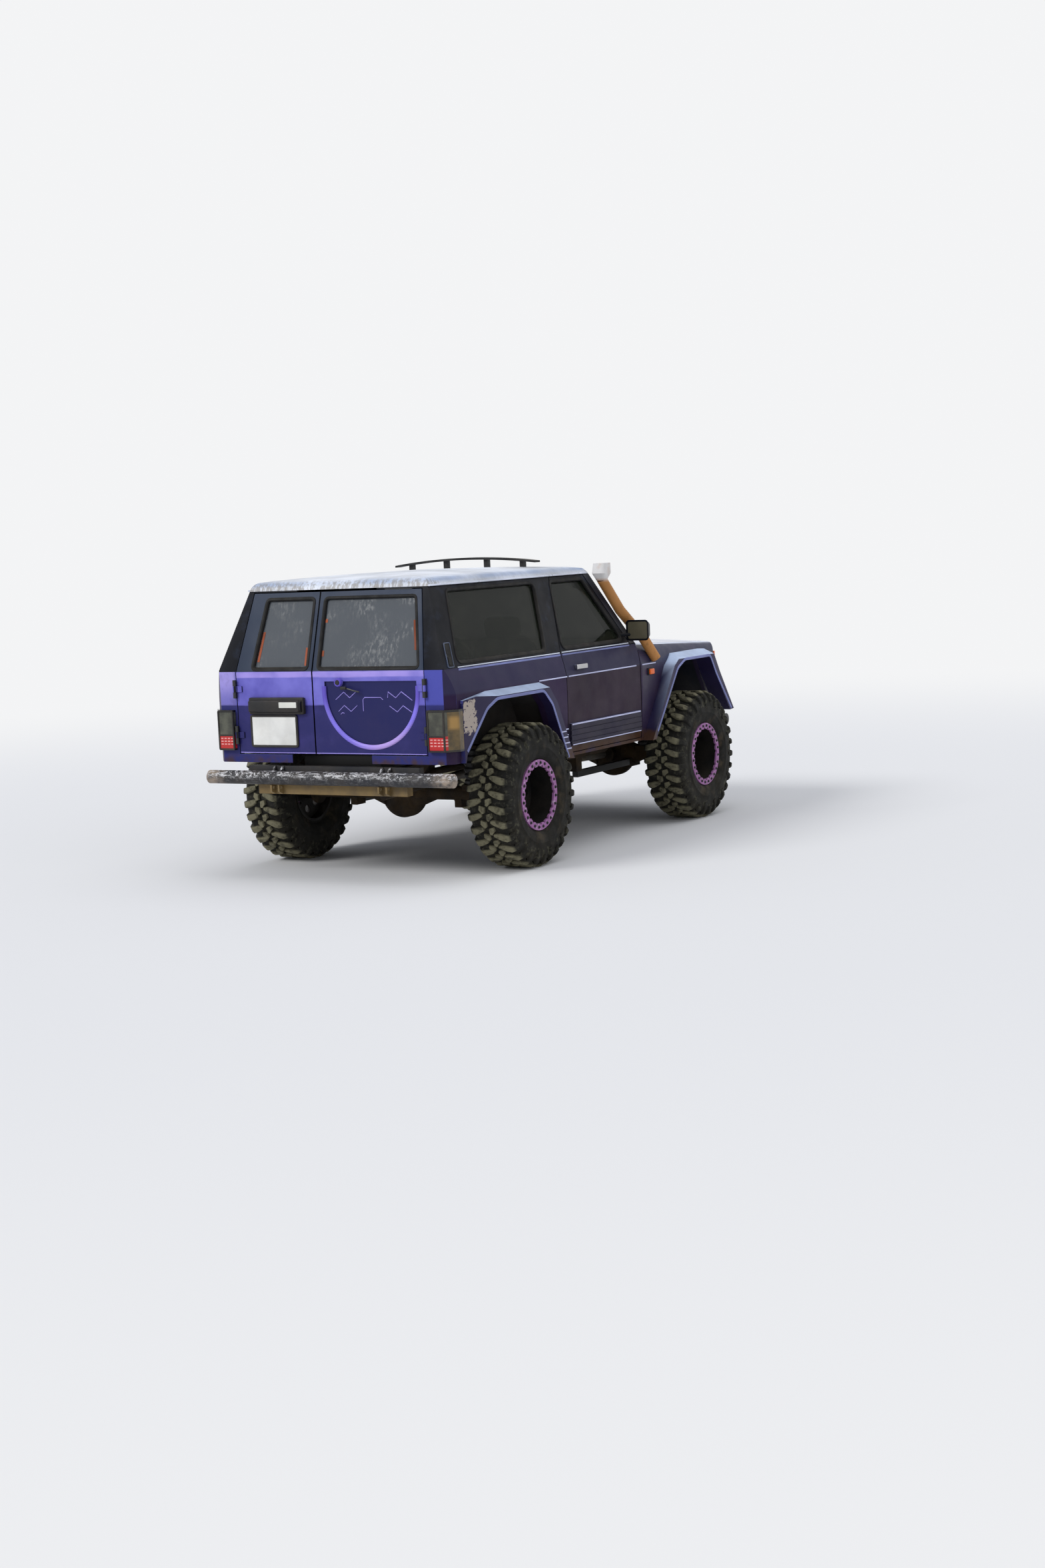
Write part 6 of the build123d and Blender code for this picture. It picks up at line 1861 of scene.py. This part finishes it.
    def build(self) -> None:
        """Tyres, bolts and hubs of the four wheels."""
        for place, axle, finish in (("front", FRONT_AXLE, Finishes.TYRE_FRONT),
                                    ("rear", REAR_AXLE, Finishes.TYRE_REAR)):
            for side in Side:
                body = f"wheel_{place}_{side.word}"
                where = Matrix.Translation((side.value * HALF_TRACK, axle, AXLE_HEIGHT))
                where = where @ Matrix.Diagonal((side.value, 1, 1, 1))
                tyre = self.tyre_mesh(finish)
                bmesh.ops.transform(tyre, matrix=where, verts=tyre.verts)
                if side.value < 0:
                    bmesh.ops.reverse_faces(tyre, faces=tyre.faces)
                made = Builder.finish(f"lugged_tyre_{place}_{side.word}", tyre, finish, body, "tyre",
                                      recalc=False)
                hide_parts(f"tyre_{place}_{side.word}")
                fittings, nut = bmesh.new(), bmesh.new()
                Builder.disc(nut, (-0.042, 0, 0.082), (-0.022, 0, 0.082), 0.011, 0.010, sides=6)
                for ring in (RingRepeat.make(self.bolt_mesh(), 24, math.pi / 24, Finishes.BLACK_STEEL),
                             RingRepeat.make(nut, 6, 0.0, Finishes.CHROME)):
                    fittings.from_mesh(ring)
                    bpy.data.meshes.remove(ring)
                self.add_hub(fittings)
                bmesh.ops.transform(fittings, matrix=where, verts=fittings.verts)
                Builder.finish(f"ring_bolts_{place}_{side.word}", fittings, Finishes.BLACK_STEEL, body,
                               "black_steel")


@dataclass
class Seats:
    """Padded front seats and rear bench."""

    crown: float = 0.022
    squareness: float = 5.5

    def pad(self, name: str, centre: Point, size: Point, lean: float, channels: int, node: str) -> None:
        """One cushion with sewn channels.

        Args:
            name: the piece's name.
            centre: its middle.
            size: its full size, before it leans.
            lean: its turn about X in degrees.
            channels: sewn lines along its length.
            node: the CAD node that it stands for.
        """
        mesh = bmesh.new()
        bmesh.ops.create_cube(mesh, size=1.0)
        bmesh.ops.subdivide_edges(mesh, edges=mesh.edges, cuts=9, use_grid_fill=True)
        for vert in mesh.verts:
            x, y, z = (2 * value for value in vert.co)
            flat = [max(abs(value), 1e-6) for value in (x, y, z)]
            scale = max(flat) / sum(value ** self.squareness for value in flat) ** (1 / self.squareness)
            puff = 1 + self.crown * 2.4 * (1 - x * x) * (1 - y * y)
            groove = 0.0
            if channels and abs(z) > 0.93:
                phase = (x * 0.5 + 0.5) * (channels + 1)
                groove = 0.05 * math.exp(-((phase - round(phase)) * 9) ** 2) * (0.1 < phase < channels + 0.9)
            vert.co = Vector((x * scale / 2, y * scale / 2, z * scale / 2 * puff * (1 - groove)))
        matrix = (Matrix.Translation(centre) @ Matrix.Rotation(math.radians(lean), 4, "X")
                  @ Matrix.Diagonal((*size, 1)))
        bmesh.ops.transform(mesh, matrix=matrix, verts=mesh.verts)
        made = Builder.finish(name, mesh, Finishes.CLOTH, "body", "fabric", smooth=180)
        fine = made.modifiers.new("round", "SUBSURF")
        fine.levels = fine.render_levels = 1
        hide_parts(node)

    def build(self) -> None:
        """Cushions, backs and headrests, with their frames."""
        y = REAR_AXLE
        for side in Side:
            x, word = side.value * 0.395, side.word
            self.pad(f"seat_cushion_{word}", (x, y - 1.010, 0.862), (0.480, 0.440, 0.115), 2, 3,
                     "front_seats")
            self.pad(f"seat_back_{word}", (x, y - 0.714, 1.150), (0.470, 0.560, 0.088), 74.4, 3,
                     "front_seats")
            self.pad(f"headrest_{word}", (x, y - 0.642, 1.482), (0.260, 0.140, 0.062), 79, 0, "front_seats")
            mesh = bmesh.new()
            Builder.box(mesh, (x - 0.185, y - 1.180, 0.672), (x + 0.185, y - 0.800, 0.810), 0.015)
            for offset in (-0.06, 0.06):
                Builder.disc(mesh, (x + offset, y - 0.690, 1.380), (x + offset, y - 0.664, 1.450), 0.006)
            made = Builder.finish(f"seat_base_{word}", mesh, Finishes.BLACK_STEEL, "body", "fabric")
            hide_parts("front_seats")
        self.pad("bench_cushion", (0, y - 0.170, 0.955), (1.140, 0.440, 0.130), 2, 5, "rear_bench")
        self.pad("bench_back", (0, y + 0.148, 1.210), (1.140, 0.420, 0.098), 75, 5, "rear_bench")
        base = ((-0.535, y - 0.365, 0.812), (0.535, y + 0.095, 0.900), 0.01)
        made = Builder.blocks("bench_base", [base], Finishes.BLACK_STEEL, "body", "fabric")
        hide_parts("rear_bench")


@dataclass
class FrontEnd:
    """Grille bars, headlamp rims, front indicators and the wiper arms."""

    nose: float = FRONT_AXLE - 0.655
    lamp_z: float = 1.090
    lamp_x: float = 0.565
    eye: float = 0.062
    up: Point = (0, -1, 0)

    def build(self) -> None:
        """Badge-free grille bars, lamp rims, indicators and the wiper arms."""
        bars = []
        for row in range(4):
            z = 1.036 + row * 0.036
            bars.append(((-0.406, self.nose + 0.010, z - 0.006), (0.406, self.nose + 0.022, z + 0.006),
                         0.003))
        Builder.blocks("grille_bars", bars, Finishes.CHROME, "body", "dark_paint")
        rim = Builder.frame((self.lamp_x, self.nose + 0.002, self.lamp_z), (0.226, 0.156), 0.028)
        arm = [Vector((0.20 + t * 0.36, SKIN.screen_y(1.33 + t * 0.06) - 0.012, 1.326 + t * 0.06))
               for t in (0.0, 0.5, 1.0)]
        for side in Side:
            sign, word = side.value, side.word
            Builder.swept(f"headlamp_bezel_{word}", Builder.mirrored(rim, side),
                          Builder.taper(0.008, -0.004, 0.006, 0.006), self.up, Finishes.CHROME, "body",
                          "black_steel", closed=True)
            turns = [k * math.pi / 16 for k in range(32)]
            eye = [Vector((sign * self.lamp_x + self.eye * math.cos(turn), self.nose - 0.001,
                           self.lamp_z + self.eye * math.sin(turn))) for turn in turns]
            Builder.swept(f"headlamp_eye_{word}", eye, Builder.taper(0.003, -0.003, 0.002, 0.002), self.up,
                          Finishes.CHROME, "body", "clear_lamp", closed=True)
            lens = ((sign * 0.702, self.nose - 0.006, 1.022), (sign * 0.782, self.nose + 0.012, 1.158),
                    0.006, 3)
            Builder.blocks(f"front_indicator_{word}", [lens], Finishes.AMBER, "body", "lamp")
            Builder.swept(f"screen_wiper_{word}", Builder.mirrored(arm, side),
                          Builder.round_profile(0.012, 0.012, 8), self.up, Finishes.BLACK_STEEL, "body",
                          "black_steel")


@dataclass
class TailLamps:
    """Rims and bars on the tail lamps."""

    middle: Flat = (0.7895, 0.939)
    size: Flat = (0.113, 0.244)

    def build(self) -> None:
        """A black rim round each lamp's rear face and a bar across its lens."""
        outline = Builder.frame((self.middle[0], TAIL_SKIN + 0.0255, self.middle[1]), self.size, 0.008, 3)
        for side in Side:
            sign = side.value
            mesh = bmesh.new()
            Builder.sweep(mesh, Builder.mirrored(outline, side), Builder.taper(0.006, -0.004, 0.005, 0.004),
                          (0, 1, 0), closed=True)
            Builder.box(mesh, (sign * 0.735, TAIL_SKIN + 0.022, 0.902),
                        (sign * 0.845, TAIL_SKIN + 0.029, 0.912), 0.002)
            Builder.finish(f"tail_lamp_rim_{side.word}", mesh, Finishes.PLASTIC, "body", "plastic")


@dataclass
class Studio:
    """Floor, lights and the camera at the photograph's angle."""

    place: Point = (-8.043, 13.2075, 2.100)
    yaw: float = 0.5347
    pitch: float = -0.1116
    roll: float = -0.0458
    sensor: float = 36.0
    focal_share: float = 3365 / 2352
    backdrop: Colour = (0.90, 0.905, 0.915)
    lamps: tuple[tuple[str, Point, float, float], ...] = (
        ("key", (0.40, 0.74, 0.62), 0.40, 1.55), ("top", (-0.25, -0.20, 1.0), 0.90, 0.75),
        ("fill", (-0.90, 0.30, 0.40), 0.70, 0.25))

    def camera(self) -> None:
        """The camera that took the photograph."""
        data = bpy.data.cameras.new("photo_camera")
        data.sensor_width = self.sensor
        data.lens = self.focal_share * self.sensor
        data.clip_end = 200
        made = new_object("photo_camera", data)
        forward = Vector((math.sin(self.yaw) * math.cos(self.pitch),
                          -math.cos(self.yaw) * math.cos(self.pitch), math.sin(self.pitch)))
        right = forward.cross(Vector((0, 0, 1))).normalized()
        rise = right.cross(forward).normalized()
        turned = right * math.cos(self.roll) + rise * math.sin(self.roll)
        lifted = rise * math.cos(self.roll) - right * math.sin(self.roll)
        matrix = Matrix((turned, lifted, -forward)).transposed().to_4x4()
        made.matrix_world = Matrix.Translation(self.place) @ matrix
        bpy.context.scene.camera = made

    def light(self) -> None:
        """Soft suns and a pale world."""
        for name, towards, angle, strength in self.lamps:
            data = bpy.data.lights.new(name, "SUN")
            data.angle = angle
            data.energy = strength
            new_object(name, data).rotation_euler = (-Vector(towards)).to_track_quat("-Z", "Y").to_euler()
        world = bpy.data.worlds.new("studio")
        bpy.context.scene.world = world
        world.use_nodes = True
        world.node_tree.nodes.clear()
        make = Nodes(world.node_tree)
        height = make.split(make.node("ShaderNodeTexCoord").outputs["Generated"])[2]
        sky = make.mix(make.span(height, -0.1, 0.35), (0.42, 0.42, 0.42), (0.86, 0.90, 1.0))
        soft = make.node("ShaderNodeBackground", {"Color": sky, "Strength": 0.5})
        plain = make.node("ShaderNodeBackground", {"Color": self.backdrop, "Strength": 1.0})
        mixed = make.node("ShaderNodeMixShader",
                          {0: self.seen(make), 1: soft.outputs[0], 2: plain.outputs[0]})
        make.node("ShaderNodeOutputWorld", {"Surface": mixed.outputs[0]})

    def seen(self, make: Nodes) -> Socket:
        """1 where the backdrop is seen, straight, mirrored or through glass.

        Args:
            make: the maker of the nodes.

        Returns:
            1 or 0.
        """
        path = make.node("ShaderNodeLightPath").outputs
        mirrored = make.most(path["Is Glossy Ray"], path["Is Transmission Ray"])
        return make.most(path["Is Camera Ray"], mirrored)

    def floor(self) -> None:
        """A wide pale floor under the tyres that fades into the backdrop."""
        mesh = bmesh.new()
        bmesh.ops.create_grid(mesh, x_segments=1, y_segments=1, size=60)
        data = bpy.data.meshes.new("studio_floor")
        mesh.to_mesh(data)
        mesh.free()
        material, make = Nodes.material("pale_floor")
        x, y, _ = make.split(make.place())
        away = make.length(x, y)
        share = make.times(make.span(away, 5.0, 16.0), self.seen(make))
        ground = {"Base Color": (0.80, 0.80, 0.80), "Roughness": 0.95, "Specular IOR Level": 0.0}
        plain = make.node("ShaderNodeBsdfPrincipled", ground)
        glow = make.node("ShaderNodeEmission", {"Color": self.backdrop, "Strength": 1.0})
        mixed = make.node("ShaderNodeMixShader", {0: share, 1: plain.outputs[0], 2: glow.outputs[0]})
        make.node("ShaderNodeOutputMaterial", {"Surface": mixed.outputs[0]})
        data.materials.append(material)
        new_object("studio_floor", data)

    def build(self) -> None:
        """The whole studio."""
        self.camera()
        self.light()
        self.floor()
        bpy.context.scene.view_settings.view_transform = "Standard"


NODE_FINISHES: tuple[tuple[Surface, tuple[str, ...]], ...] = (
    (Finishes.PAINT, both("body_side")),
    (Finishes.DOOR, both("front_door")),
    (Finishes.REAR, both("rear_door")),
    (Finishes.WING, both("fender")),
    (Finishes.FLARE, ("flares_front", "flares_rear")),
    (Finishes.HOOD, ("hood",)),
    (Finishes.ROOF, ("roof_panel",)),
    (Finishes.SLATE, ("windscreen_frame", "inner_wings")),
    (Finishes.NOSE, ("nose_panel",)),
    (Finishes.GLASS, ("body_glass", *both("door_glass"))),
    (Finishes.REAR_GLASS, both("rear_glass")),
    (Finishes.BLACK_STEEL, ("body_hinges", "front_bumper", "fuel_tank")),
    (Finishes.BLACK_STEEL, ("front_suspension", "rear_suspension", "tie_rod")),
    (Finishes.SCUFFED, ("rear_bumper",)),
    (Finishes.RUSTY, ("chassis_frame", "exhaust")),
    (Finishes.CAST, ("front_axle", "rear_axle", *both("knuckle"), "engine_block")),
    (Finishes.ALLOY, ("gearbox",)),
    (Finishes.CLEAR, ("headlamps",)),
    (Finishes.LAMP, ("tail_lamps",)),
    (Finishes.SNORKEL, ("snorkel",)),
    (Finishes.PLASTIC, ("roof_bar",)),
    (Finishes.CABIN, ("dashboard",)),
    (Finishes.CARPET, ("body_floor",)),
    (Finishes.WHEEL, both("wheel_front", "wheel_rear")),
)


def main() -> None:
    """Builds every sub-assembly in order."""
    logging.basicConfig(level=logging.INFO, format="%(name)s %(message)s")
    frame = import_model()
    Studio().build()
    for finish, nodes in NODE_FINISHES:
        for node in nodes:
            CadDress.dress(frame, node, finish)
    for assembly in (WindowSeals(), SideTrim(), RearDoors(), Wheels(), Seats(), FrontEnd(), TailLamps()):
        LOG.info("building %s", type(assembly).__name__)
        assembly.build()


if __name__ == "__main__":
    main()
